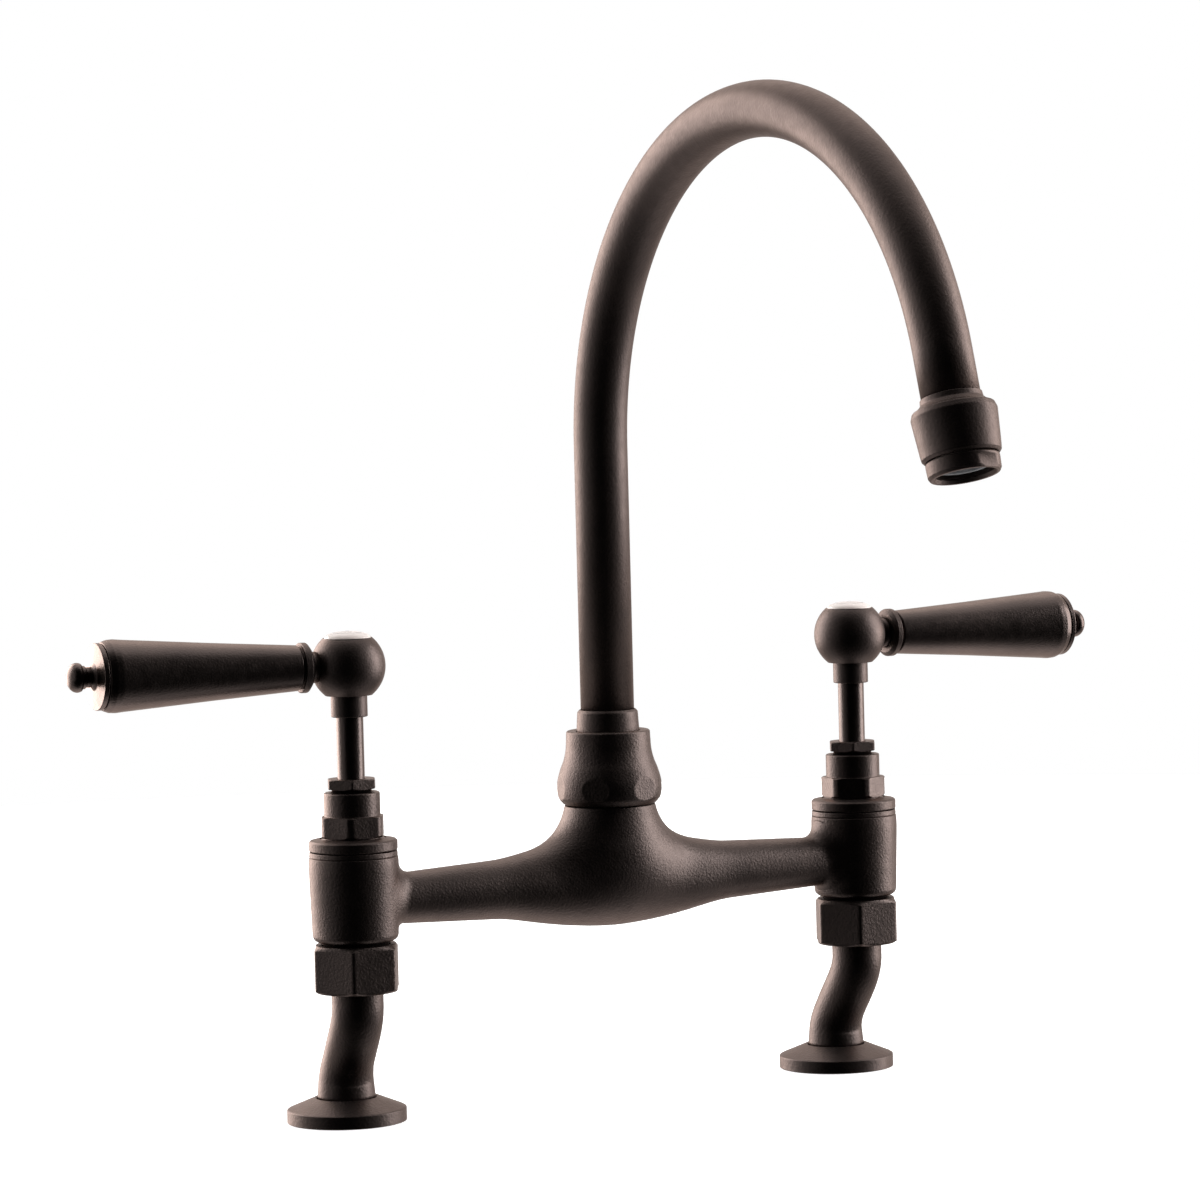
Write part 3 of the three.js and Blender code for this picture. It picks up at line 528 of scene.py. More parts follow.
# %% [markdown]
# ## Bridge casting
#
# The bridge is one brass casting: two tapering arms, a swollen middle and a round
# neck, run together by wide hollow sweeps. Booleans would leave sharp joins, so the
# skin is described by a rule instead. Each simple form has a distance that is
# negative inside it, and a soft minimum of the distances melts the forms together.
# The skin is where the result is zero. It is found along rays in a fan of sections
# that starts level with the neck's top and turns about a line behind the hollow
# sweep, which keeps the mesh even where the form turns from upright to level.

# %% The casting's rule
ARM_R_END, ARM_R_ROOT, ARM_LENGTH, ARM_EASE = 8.75, 12.35, 86.3, 3
BELLY = (46.0, 13.5, 15.8)
NECK_R, NECK_FOOT, NECK_TOP = 15.5, 92.5, 104.6
NECK_BLEND, BELLY_BLEND = 18.5, 6.0
PIVOT_X = 36.0
SIGHT = 60.0         # no search along a ray goes further than this
HALVINGS = 44        # how often the stretch that holds the skin is halved


def arm_radius(x):
    to_middle = np.clip(1 - np.hypot(x, ARM_EASE) / ARM_LENGTH, 0, 1)
    return ARM_R_END + (ARM_R_ROOT - ARM_R_END) * to_middle


def casting_field(x, y, z):
    """Negative inside the casting, zero on its skin."""
    dz = z - ARM_Z
    arm = np.hypot(y, dz) - arm_radius(x)
    bx, by, bz = BELLY
    e = np.sqrt((x / bx) ** 2 + (y / by) ** 2 + (dz / bz) ** 2)
    slope = np.sqrt((x / bx ** 2) ** 2 + (y / by ** 2) ** 2 + (dz / bz ** 2) ** 2)
    belly = e * (e - 1) / (slope + 1e-9)
    neck = np.sqrt(x ** 2 + y ** 2 + np.minimum(z - NECK_FOOT, 0) ** 2) - NECK_R
    return soft_min(soft_min(arm, belly, BELLY_BLEND), neck, NECK_BLEND)


def to_skin(field, count):
    """Distance along each of several rays, from inside, to the skin, by halving."""
    inside, outside = np.zeros(count), np.full(count, SIGHT)
    for _ in range(HALVINGS):
        middle = (inside + outside) / 2
        within = field(middle) < 0
        inside = np.where(within, middle, inside)
        outside = np.where(within, outside, middle)
    return inside


def belly_bottom():
    return ARM_Z - to_skin(lambda t: casting_field(0 * t, 0 * t, ARM_Z - t), 1)[0]


print("belly bottom at", round(float(belly_bottom()), 2), "mm")

# %% [markdown]
# Where an arm meets its barrel, the mesh has to turn from rings round the arm into
# rings round the barrel. The barrel's wall is unrolled to a rectangle, and the rays
# round the arm are aimed at evenly spaced points on that rectangle's edge. Rings then
# grow from the arm, over the fillet, out to the rectangle, and the rest of the barrel
# continues from the same points.

# %% Where the rays go
WALL_TOP, WALL_FOOT = 92.3, 66.8
WALL_R, WALL_R_TOP, WALL_R_FOOT = 15.3, 15.68, 14.9
SHOULDER_Z, SHOULDER = 88.3, 0.0115  # the wall leans in above here, by SHOULDER * dz^2
FILLET, FILLET_LEAN = 4.4, 1.7         # the hollow is larger above the arm
TOP_STEPS, SIDE_STEPS = 24, 18


def wall_radius(z):
    taper = (WALL_R_TOP - WALL_R_FOOT) / (WALL_TOP - WALL_FOOT)
    return (WALL_R_FOOT + taper * (z - WALL_FOOT)
            - SHOULDER * np.maximum(z - SHOULDER_Z, 0) ** 2)


def wall_edge():
    """The unrolled wall's edge, once round from below the arm: (sideways, up)."""
    side = WALL_R * math.pi / 2
    top, foot = WALL_TOP - ARM_Z, WALL_FOOT - ARM_Z
    over = np.linspace(0, side, TOP_STEPS + 1)
    down = np.linspace(top, foot, SIDE_STEPS + 1)
    u = np.concatenate([over[:-1], np.full(SIDE_STEPS, side), over[::-1]])
    v = np.concatenate([np.full(TOP_STEPS, top), down[:-1],
                        np.full(TOP_STEPS + 1, foot)])
    return (np.concatenate([-u[:0:-1], u]), np.concatenate([v[:0:-1], v]))


EDGE_U, EDGE_V = wall_edge()
RAY = np.arctan2(EDGE_U, EDGE_V)
RAY[0], RAY[-1] = -math.pi, math.pi
RAYS = len(RAY)
print(RAYS, "rays round each section")


# %% Sections of the casting
UNDER_SKIN = 6       # this far under the near skin, a ray is well inside
GUESS_X = HALF - WALL_R - 3.0   # where the search for the fillet starts


def fan_section(angle, meeting):
    """One section of the +X half, in the plane turned down by angle at the pivot."""
    dx, dz = -math.cos(angle), -math.sin(angle)

    def field(rho, y):
        return casting_field(PIVOT_X + rho * dx, y, NECK_TOP + rho * dz)

    sight = np.arange(0, SIGHT, 0.01)
    near = sight[np.argmax(field(sight, 0 * sight) <= 0)]
    deep = near + UNDER_SKIN
    at_seam = angle < meeting - 1e-6
    seam = PIVOT_X / math.cos(angle) if angle < meeting + 1e-9 else math.inf
    far = min(seam, deep + to_skin(lambda t: field(deep + t, 0 * t), 1)[0])
    mid = (near + far) / 2
    seam_y = to_skin(lambda t: field(far + 0 * t, t), 1)[0] if at_seam else 0.0
    limit = math.pi / 2 + math.atan2(far - mid, seam_y) if at_seam else math.pi
    ray = RAY * limit / math.pi
    reach = to_skin(lambda t: field(mid - t * np.cos(ray), t * np.sin(ray)), RAYS)
    rho, y = mid - reach * np.cos(ray), reach * np.sin(ray)
    rho[[0, -1]] = far
    y[[0, -1]] = (-seam_y, seam_y)
    x = PIVOT_X + rho * dx
    if at_seam:
        x[[0, -1]] = 0.0
    return np.stack([x, y, NECK_TOP + rho * dz], 1)


def arm_section(x):
    reach = to_skin(lambda t: casting_field(
        x + 0 * t, t * np.sin(RAY), ARM_Z + t * np.cos(RAY)), RAYS)
    y = reach * np.sin(RAY)
    y[[0, -1]] = 0.0
    return np.stack([np.full(RAYS, x), y, ARM_Z + reach * np.cos(RAY)], 1)


def fillet_section(turn):
    """A ring on the hollow fillet; turn goes from 0 on the arm to 90 degrees."""
    size = FILLET + FILLET_LEAN * np.cos(RAY)
    gap = size * (1 - math.sin(turn))
    x = np.full(RAYS, GUESS_X)
    for _ in range(6):   # each round brings x nearer to where both surfaces agree
        r = arm_radius(x) + size * (1 - math.cos(turn))
        y, z = r * np.sin(RAY), ARM_Z + r * np.cos(RAY)
        x = HALF - np.sqrt((wall_radius(z) + gap) ** 2 - y ** 2)
    y[[0, -1]] = 0.0
    return np.stack([x, y, z], 1)


def wall_section(share, start):
    """A ring on the barrel's wall, from the fillet's end (0) to the edge (1)."""
    u0 = WALL_R * np.arcsin(start[:, 1] / wall_radius(start[:, 2]))
    v0 = start[:, 2] - ARM_Z
    u = u0 + (EDGE_U - u0) * share
    z = ARM_Z + v0 + (EDGE_V - v0) * share
    r = wall_radius(z)
    return np.stack([HALF - r * np.cos(u / WALL_R), r * np.sin(u / WALL_R), z], 1)


# %% Put the casting together
NECK_EDGE = 0.3      # the neck's top edge is rounded by this
FAN_UPPER, FAN_LOWER, CROWDING = 64, 14, 1.7   # sections, crowded near the meeting
ARM_FROM, ARM_TO, ARM_RINGS = 38.5, 76, 16
FILLET_RINGS, WALL_RINGS = 14, 10
BARREL_FOOT_Z, BARREL_FOOT_IN = 2.4, 2.3       # the roll under the barrel's wall


def spigot_sections(first):
    """Rows from inside the spigot's bore over its rim to the neck's top edge."""
    round_angle = np.arctan2(first[:, 1], first[:, 0])
    neck = np.hypot(first[:, 0], first[:, 1])
    outline = rounded([(0, ARM_Z), (7.0, ARM_Z), (7.0, 98), (9.9, 102), (9.9, 117.6, 0.4),
                       (12.6, 117.6, 0.5), (12.6, NECK_TOP)], False)
    rows = [(r + 0 * neck, z) for r, z in outline]
    rows += [(neck - NECK_EDGE, NECK_TOP), (neck - 0.1, NECK_TOP - 0.08)]
    return [np.stack([r * np.cos(round_angle), r * np.sin(round_angle),
                      np.full(RAYS, z)], 1) for r, z in rows]


def half_skin():
    """Rows of the +X half, from the spigot's bore to the barrel wall's edge."""
    meeting = math.atan2(NECK_TOP - belly_bottom(), PIVOT_X)
    fan = [fan_section(meeting * (1 - (1 - i / FAN_UPPER) ** CROWDING), meeting)
           for i in range(FAN_UPPER + 1)]
    fan += [fan_section(meeting + (math.pi / 2 - meeting) * i / FAN_LOWER, meeting)
            for i in range(1, FAN_LOWER + 1)]
    spigot = spigot_sections(fan[0])
    fan[0] = fan[0] - np.array([0, 0, NECK_EDGE])
    arm = [arm_section(x) for x in np.linspace(ARM_FROM, ARM_TO, ARM_RINGS)]
    fillet = [fillet_section(t) for t in np.linspace(0, math.pi / 2, FILLET_RINGS)]
    wall = [wall_section(t, fillet[-1]) for t in np.linspace(0, 1, WALL_RINGS)[1:]]
    return spigot + fan + arm + fillet + wall


def barrel_grids():
    """The barrel beyond the wall's front: its far side, rim, bore, tail and foot."""
    front = np.linspace(-math.pi / 2, math.pi / 2, 2 * TOP_STEPS + 1)
    far = np.linspace(math.pi / 2, 1.5 * math.pi, 2 * TOP_STEPS + 1)

    def place(r, a, z):
        return np.stack([HALF - r * np.cos(a), r * np.sin(a),
                         np.broadcast_to(z, a.shape)], -1)

    heights = ARM_Z + np.linspace(WALL_TOP - ARM_Z, WALL_FOOT - ARM_Z, SIDE_STEPS + 1)
    back = np.stack([place(wall_radius(z), far, z) for z in heights])
    around = np.concatenate([front, far[1:-1]])
    foot = []
    for a in np.linspace(0, math.pi / 2, 13):
        z = WALL_FOOT - BARREL_FOOT_Z * math.cos(a)
        foot.append((wall_radius(z) - BARREL_FOOT_IN * (1 - math.sin(a)), z))
    outline = rounded([
        (wall_radius(WALL_TOP), WALL_TOP), (wall_radius(92.8), 92.8),
        (wall_radius(93.42), 93.42, 0.35), (15.02, 93.66, 0.06),
        (15.3, 93.95, 0.12), (15.2, 95.6, 0.4), (11.4, 95.6, 0.3), (11.4, 68.0),
        (6.4, 68.0), (6.4, 54.8), (11.5, 54.8, 0.5), (11.5, 64.4), *foot], False)
    rest = np.stack([place(r, around, z) for r, z in outline])
    return back, rest


def casting(name):
    """Both halves, each from three grids that are turned to face the same way."""
    skin = np.stack(half_skin())
    back, rest = barrel_grids()
    points, faces = [], []
    for side in (1, -1):
        for grid, wrap, flip in ((skin, False, False), (back, False, True),
                                 (rest, True, False)):
            start = sum(len(p) for p in points)
            quads = grid_faces(grid.shape[0], grid.shape[1], wrap, start)
            faces.append(quads[:, ::-1] if flip == (side > 0) else quads)
            points.append(grid.reshape(-1, 3) * (side, 1, 1))
    piece = mesh_object(name, np.concatenate(points), np.concatenate(faces))
    print_closed(name, piece.data)
    return piece


fit(casting("bridge_body_fine"), "bridge_body", BRONZE_CAST)

# %% [markdown]
# ## Spout tube
#
# The spout is a straight brass tube bent round one large former: a straight rise, one
# arc, and a short straight end. Its shape follows a rule with a few sizes, which is
# what Geometry Nodes are good at. The tree draws the centre line and sweeps the outer
# and the inner circle along it. A flat ring then joins both walls at each end.

# %% Geometry Nodes helpers
def geometry_tree(name, **sizes):
    """A tree whose inputs are its sizes, in metres or radians, and its counts."""
    inputs = {key.replace("_", " "): ("Int" if isinstance(value, int) else "Float",
                                      value) for key, value in sizes.items()}
    return new_group("GeometryNodeTree", name, inputs, {"Geometry": "Geometry"})


def finish_tree(tree, result, geometry, material):
    """Ends a tree in Realize Instances and Set Material, as an export needs."""
    for kind, inputs in (("RealizeInstances", {}), ("MergeByDistance",
                         {"Distance": WELD}), ("SetShadeSmooth", {}),
                         ("SetMaterial", {"Material": material})):
        geometry = node(tree, "GeometryNode" + kind, Geometry=geometry,
                        **inputs).outputs[0]
    feed(tree, result, Geometry=geometry)


def points_row(tree, count, **place):
    """A row of points, each put in its place by a rule of its number."""
    line = node(tree, "GeometryNodeMeshLine", {"mode": "OFFSET"}, Count=count)
    return node(tree, "GeometryNodeSetPosition", Geometry=line.outputs[0],
                Position=node(tree, "ShaderNodeCombineXYZ", **place).outputs[0]
                ).outputs[0]


def grow(name, tree):
    """Runs a tree on an empty mesh and keeps the result as a plain mesh object."""
    seed = add_object(name + "_seed", bpy.data.meshes.new(name + "_seed"))
    seed.modifiers.new("Grow", "NODES").node_group = tree
    mesh = evaluated_mesh(seed)
    bpy.data.objects.remove(seed)
    with editing(mesh) as work:
        face_outward(work)
    return add_object(name, mesh)


def evaluated_mesh(thing):
    return bpy.data.meshes.new_from_object(
        thing.evaluated_get(bpy.context.evaluated_depsgraph_get()))


# %% The gooseneck tree
def gooseneck_tree(material):
    tree, size, result = geometry_tree(
        "Gooseneck", Foot=TUBE_FOOT * MM, Rise=BEND_Z * MM, Bend_Radius=BEND_R * MM,
        Sweep=BEND_SWEEP, End=OUTLET_STRAIGHT * MM, Outer=TUBE_R * MM,
        Bore=TUBE_BORE * MM, Steps=96, Sides=64)
    calc = partial(maths, tree)
    # one line of points, each placed by its number: foot, arc, end
    last = calc("ADD", size["Steps"], 1.0)
    number = node(tree, "GeometryNodeInputIndex").outputs[0]
    share = calc("DIVIDE", calc("SUBTRACT", number, 1.0), size["Steps"], clamp=True)
    angle = calc("MULTIPLY", share, size["Sweep"])
    is_foot, is_end = calc("LESS_THAN", number, 0.5), calc("GREATER_THAN", number, last)
    sine, cosine = calc("SINE", angle), calc("COSINE", angle)
    run = calc("SUBTRACT", calc("MULTIPLY", is_end, size["End"]),
               calc("MULTIPLY", is_foot, calc("SUBTRACT", size["Rise"], size["Foot"])))
    arc_y = calc("MULTIPLY", size["Bend Radius"], calc("SUBTRACT", cosine, 1.0))
    arc_z = calc("MULTIPLY_ADD", size["Bend Radius"], sine, size["Rise"])
    line = points_row(tree, calc("ADD", last, 2.0),
                      Y=calc("SUBTRACT", arc_y, calc("MULTIPLY", run, sine)),
                      Z=calc("MULTIPLY_ADD", run, cosine, arc_z))
    path = node(tree, "GeometryNodeMeshToCurve", Mesh=line)
    upright = node(tree, "GeometryNodeSetCurveNormal", {"mode": "MINIMUM_TWIST"},
                   Curve=path.outputs[0])
    walls = []
    for radius in (size["Outer"], size["Bore"]):
        circle = node(tree, "GeometryNodeCurvePrimitiveCircle",
                      Resolution=size["Sides"], Radius=radius)
        walls.append(node(tree, "GeometryNodeCurveToMesh", Curve=upright.outputs[0],
                          Profile_Curve=circle.outputs[0]).outputs[0])
    both = node(tree, "GeometryNodeJoinGeometry", _0=walls[0])
    feed(tree, both, _0=node(tree, "GeometryNodeFlipFaces", Mesh=walls[1]).outputs[0])
    finish_tree(tree, result, both.outputs[0], material)
    return tree


def close_tube_ends(piece):
    """Joins the outer and the inner wall with a flat ring at each end."""
    with editing(piece.data) as work:
        rims = [e for e in work.edges if e.is_boundary]
        for low in (True, False):
            ends = [e for e in rims if (e.verts[0].co.z < 0.15) == low]
            bmesh.ops.bridge_loops(work, edges=ends)
        bmesh.ops.recalc_face_normals(work, faces=work.faces)
    piece.data.shade_smooth()


spout = grow("spout_tube_fine", gooseneck_tree(BRONZE_TUBE))
close_tube_ends(spout)
fit(spout, "spout_tube", BRONZE_TUBE)
print("spout tube:", len(spout.data.polygons), "faces")

# %% [markdown]
# ## Pieces on the spout
#
# The ferrule is soldered to the tube's foot and is held down by the lip of the swivel
# nut. At the far end the nozzle bell carries the aerator. These are turned pieces,
# drawn upright and then set on the end of the bend by one matrix.

# %% Ferrule, nozzle bell and aerator
fit(turned("spout_ferrule_fine", [
    (TUBE_R + 0.2, 120.2), (12.6, 120.2, 0.3), (12.6, 122.9, 0.3), (11.1, 122.9, 0.3),
    (11.1, 131.5, 2.0), (10.72, 137.5, 0.8), (9.95, 138.35, 0.3),
    (TUBE_R + 0.2, 138.35)]),
    "spout_ferrule", BRONZE_TUBE)

end_y = -BEND_R * (1 - math.cos(BEND_SWEEP)) - OUTLET_STRAIGHT * math.sin(BEND_SWEEP)
end_z = BEND_Z + BEND_R * math.sin(BEND_SWEEP) + OUTLET_STRAIGHT * math.cos(BEND_SWEEP)
# a nozzle piece's own +Z points back up the tube
nozzle = stand(0, end_y, end_z) @ Matrix.Rotation(BEND_SWEEP - math.pi, 4, "X")

fit(turned("nozzle_bell_fine", [
    (TUBE_R + 0.25, 2.4), (9.95, 2.4, 0.25), (10.15, 0.6, 0.9), (11.5, -0.75, 0.5),
    (13.2, -1.55, 0.8), (13.85, -3.4, 1.2), (12.95, -15.0, 0.5), (12.75, -16.7, 0.6),
    (12.0, -17.6, 0.35), (10.8, -17.6, 0.2), (10.8, -5.0), (7.9, -5.0), (7.9, -0.4),
    (TUBE_R + 0.25, -0.4)], place=nozzle), "nozzle_bell", BRONZE_TUBE)


RING_FLAT, FLATS_BELOW, RING_SKIN = 11.05, -19.2, 10.6


def ring_with_flats(radius, angle, height):
    """Two spanner flats milled low on the aerator ring."""
    low = (height < FLATS_BELOW) & (radius > RING_SKIN)
    flat = RING_FLAT / np.maximum(np.abs(np.sin(angle)), 0.2)
    return np.where(low, soft_min(radius, flat, 0.15), radius)


in_ring = nozzle @ Matrix.Rotation(math.radians(12), 4, "Z")
fit(turned("aerator_ring_fine", [
    (11.6, -18.0, 0.15), (11.85, -18.4, 0.2), (11.85, -19.1), (11.85, -19.3),
    (11.72, -22.4, 0.4), (11.1, -23.45, 0.4), (10.2, -23.45, 0.3), (9.5, -22.3, 0.3),
    (9.5, -9.0), (10.5, -9.0), (10.5, -18.0)], 192, in_ring, ring_with_flats),
    "aerator_ring", BRONZE_TUBE)

# %% [markdown]
# The insert inside the ring breaks the stream up. It is moulded in plastic, with a
# rounded lip that stands out below the ring and five long slots, which draw air in.
# Five like cutters stand in a row, so one small tree makes them: a line of points,
# a bar with round ends on each, shortened by the circle that all of them fit in. A
# boolean then takes them out of the turned blank, as the mould's blades would.

# %% Aerator insert
def slot_cutter_tree(material):
    tree, size, result = geometry_tree(
        "Slot Cutters", Count=5, Pitch=2.3 * MM, Width=1.2 * MM, Circle=6.6 * MM,
        Low=-22.5 * MM, Depth=14.5 * MM)
    calc = partial(maths, tree)
    middle = calc("MULTIPLY", calc("SUBTRACT", size["Count"], 1.0), 0.5)
    number = node(tree, "GeometryNodeInputIndex").outputs[0]
    y = calc("MULTIPLY", calc("SUBTRACT", number, middle), size["Pitch"])
    half = calc("SQRT", calc("SUBTRACT", calc("POWER", size["Circle"], 2.0),
                             calc("POWER", y, 2.0)))
    radius = calc("MULTIPLY", size["Width"], 0.5)
    blade = node(tree, "GeometryNodeMeshCylinder", {"fill_type": "NGON"}, Vertices=24,
                 Radius=radius, Depth=size["Depth"])
    lift = node(tree, "ShaderNodeCombineXYZ", Z=calc("MULTIPLY", size["Depth"], 0.5))
    lifted = node(tree, "GeometryNodeTransform", Geometry=blade.outputs["Mesh"],
                  Translation=lift.outputs[0])
    set_out = node(tree, "GeometryNodeInstanceOnPoints", Instance=lifted.outputs[0],
                   Points=points_row(tree, size["Count"], Y=y, Z=size["Low"]))
    # the run of each blade is kept, so that its two halves can be drawn apart
    kept = node(tree, "GeometryNodeStoreNamedAttribute",
                {"data_type": "FLOAT", "domain": "INSTANCE"}, Name="run",
                Geometry=set_out.outputs[0], Value=calc("SUBTRACT", half, radius))
    real = node(tree, "GeometryNodeRealizeInstances", Geometry=kept.outputs[0])
    run = node(tree, "GeometryNodeInputNamedAttribute", {"data_type": "FLOAT"},
               Name="run").outputs[0]
    spot = node(tree, "ShaderNodeSeparateXYZ", Vector=node(
        tree, "GeometryNodeInputPosition").outputs[0])
    apart = node(tree, "ShaderNodeCombineXYZ",
                 X=calc("MULTIPLY", calc("SIGN", spot.outputs["X"]), run))
    drawn = node(tree, "GeometryNodeSetPosition", Geometry=real.outputs[0],
                 Offset=apart.outputs[0])
    finish_tree(tree, result, drawn.outputs[0], material)
    return tree


def aerator_insert(name):
    blank = turned(name, [
        (0, -19.6), (7.45, -19.6, 0.3), (7.9, -20.6, 0.25), (8.6, -20.85, 0.35),
        (9.15, -20.5, 0.3), (9.15, -9.4, 0.2), (0, -9.4)])
    cutters = grow("slot_cutters", slot_cutter_tree(GREY_PLASTIC))
    cut = blank.modifiers.new("Slots", "BOOLEAN")
    cut.operation, cut.solver, cut.object = "DIFFERENCE", "EXACT", cutters
    shape = evaluated_mesh(blank)
    blank.modifiers.clear()
    blank.data = shape
    bpy.data.objects.remove(cutters)
    shape.set_sharp_from_angle(angle=math.radians(35))
    shape.transform(in_ring)
    print_closed(name, shape)
    return blank


fit(aerator_insert("aerator_insert_fine"), "aerator_insert", GREY_PLASTIC)

# %% [markdown]
# ## Valves
#
# From the deck up, each valve is a flange, a cranked leg, a union nut, the barrel, a
# bonnet with its hexagon, a gland nut and the spindle. Left and right are the same
# pieces, except that the hexagons came to rest at other angles. A hexagon's corners
# are turned off at about 30 degrees, which leaves the curved edge that every nut has.

# %% Bonnet, disc and gland nut
turned_pair("bonnet", BRONZE_NUT, [
    (0, 71), (10.3, 71, 0.3), (10.3, 86), (11.0, 86), (11.0, 99.9), (9.9, 99.9),
    (9.9, 100.5), (10.95, 100.5, 0.1), (11.5, 101.1, 0.3), (11.5, 107.4, 0.2),
    (11.0, 107.7, 0.15), (9.72, 107.7, 0.35), (9.72, 115.9, 0.55), (7.2, 115.9, 0.2),
    (7.2, 104.0), (5.1, 104.0), (5.1, 86), (0, 86)], 192,
    cut=hexagon(20.9, {-1: 0, 1: 0.42}, 0.25, lambda radius, height:
                (height > 100.2) & (height < 108.0) & (radius > 9.95)))
turned_pair("bonnet_disc", BRONZE_CAST, [
    (11.4, 95.9), (15.32, 95.9, 0.35), (15.32, 98.9, 0.4), (14.75, 99.5, 0.3),
    (11.4, 100.18, 0.15)], 128)
turned_pair("gland_nut", BRONZE_NUT, [
    (4.95, 108.4), (6.85, 108.4), (6.85, 117.0), (8.3, 117.1, 0.15),
    (9.24, 117.6, 0.2), (9.24, 120.1, 0.2), (8.2, 120.6, 0.2), (4.95, 120.6, 0.25)],
    192, cut=hexagon(16.0, {-1: 0.1, 1: 0}, 0.25,
                     lambda radius, height: radius > 7.2))


# %% Union nut, leg and deck flange
turned_pair("union_nut", BRONZE_NUT, [
    (9.45, 46.9), (14.05, 46.9, 0.3), (16.17, 48.0, 0.4), (16.17, 61.9, 0.4),
    (13.9, 63.4, 0.35), (11.95, 63.4, 0.3), (11.95, 49.0), (9.45, 49.0)], 240,
    cut=hexagon(28.0, {-1: 0, 1: 0.066}, 0.5, lambda radius, height: radius > 12.5))


# heights on a leg: its top and foot, the bend's, the swell's, the socket's
LEG_TOP, LEG_FOOT, CRANK_TOP, CRANK_FOOT = 52.4, 0.6, 42, 13
SWELL_TOP, SWELL_RUN, IN_FLANGE, SOCKET_TOP = 21.5, 12, 8.6, 11.5
HEAD_FOOT, HEAD_PROUD = 49.2, 2.3      # the head that the union nut pulls on
LEG_R, SWELL_R, IN_FLANGE_R, SOCKET_R, LEG_BORE = 9.0, 10.1, 9.7, 8.0, 6.1


def leg_centre(side, z):
    """Middle of the leg at some heights: upright, an S back and inward, upright."""
    t = np.clip((CRANK_TOP - z) / (CRANK_TOP - CRANK_FOOT), 0, 1)
    s = t * t * (3 - 2 * t)
    return np.stack([-side * CRANK_IN * s, CRANK_BACK * s, z], 1)


def unit(rows):
    return rows / np.linalg.norm(rows, axis=1, keepdims=True)


def leg(name, side, sides=72, steps=72):
    z = np.linspace(LEG_TOP, LEG_FOOT, steps)
    centre = leg_centre(side, z)
    along = unit(leg_centre(side, z + 0.05) - leg_centre(side, z - 0.05))
    across = unit(np.array([1.0, 0, 0]) - along[:, :1] * along)
    other = np.cross(along, across)
    outer = LEG_R + (SWELL_R - LEG_R) * np.clip((SWELL_TOP - z) / SWELL_RUN, 0, 1)
    outer = np.where(z < IN_FLANGE, IN_FLANGE_R, outer)
    outer = outer + np.clip(z - HEAD_FOOT, 0, 1) * HEAD_PROUD
    inner = np.where(z < SOCKET_TOP, SOCKET_R, LEG_BORE)
    angle = np.arange(sides) * 2 * math.pi / sides
    ring = (across[:, None] * np.cos(angle)[None, :, None]
            + other[:, None] * np.sin(angle)[None, :, None])
    out = centre[:, None] + ring * outer[:, None, None]
    back = (centre[:, None] + ring * inner[:, None, None])[::-1]
    grid = np.concatenate([out, back, out[:1]])
    grid[..., 0] += side * HALF
    return mesh_object(name, grid.reshape(-1, 3), grid_faces(len(grid), sides))


fit_both("leg", BRONZE_CAST, leg)
turned_pair("deck_flange", BRONZE_CAST, [
    (19.0, 0), (20.85, 0, 0.2), (20.85, 4.4, 0.35), (20.3, 4.75, 0.3),
    (11.2, 8.5, 0.45), (10.4, 8.3, 0.2), (10.4, 2.3), (19.0, 2.3)], 128,
    lambda side: stand(side * (HALF - CRANK_IN), CRANK_BACK))

# %% [markdown]
# ## Levers
#
# Each lever is a ball hub on the spindle with a stud through a collar into the grip,
# and a little finial that closes the grip's end. They are turned parts laid down
# along X, and the left lever is the right one turned half round. No two levers stop
# in quite the same place, so each also has its own small turn, and its own tip, as
# the stud never sits dead square in the ball.

# %% Lever, index disc and spindle
LEVER_TURN = {-1: math.radians(-5.5), 1: math.radians(-1.0)}   # round the spindle
LEVER_TIP = {-1: math.radians(0.6), 1: math.radians(-0.6)}     # up at the end


def lever_place(side):
    lay = Matrix.Rotation(math.pi / 2 - LEVER_TIP[side], 4, "Y")
    swing = LEVER_TURN[side] + (math.pi if side < 0 else 0)
    return stand(side * HALF, 0, HUB_Z) @ Matrix.Rotation(swing, 4, "Z") @ lay


def arc(radius, height, z, start, stop, count):
    """Outline points on part of an ellipse that is centred on the axis."""
    return [(radius * math.cos(a), z + height * math.sin(a))
            for a in np.linspace(start, stop, count)]


# a ball with a plain neck, faced off below, and above for the index disc
BALL_R, BALL_LOW, BALL_FLAT = 12.9, 149.65 - HUB_Z, 169.1 - HUB_Z
turned_pair("lever_hub", BRONZE_HUB, [
    (4.99, 141.9), (6.3, 141.9, 0.35), (6.3, 149.3, 0.25), (8.1, 149.3, 0.2),
    *arc(BALL_R, BALL_R, HUB_Z, math.asin(BALL_LOW / BALL_R),
         math.asin(BALL_FLAT / BALL_R), 40),
    (8.5, 169.15, 0.1), (8.4, 168.9), (8.4, 167.6), (4.4, 167.6), (4.4, 161.6),
    (2.4, 161.6), (2.4, 155.6), (4.3, 155.6), (4.3, 144.6), (4.99, 144.6)], 128)
turned_pair("index_disc", PORCELAIN, [
    (0, 167.9), (8.1, 167.9), *arc(8.1, 2.35, 169.1, 0, math.pi / 2, 20)])
turned_pair("lever_stud", BRONZE_HUB, [
    (0, 7.6), (3.0, 7.6), (3.0, 11.9), (5.4, 11.9), (5.4, 14.4, 0.25), (3.6, 14.4),
    (3.6, 34), (0, 34)], 64, lever_place)
turned_pair("lever_collar", BRONZE_HUB, [
    (3.9, 14.7), (7.28, 14.7, 0.2), (8.65, 15.72, 0.3), (8.65, 17.5, 0.15),
    (8.25, 17.8, 0.1), (7.3, 17.8, 0.1), (7.3, 18.4, 0.12), (3.9, 18.4)],
    place=lever_place)
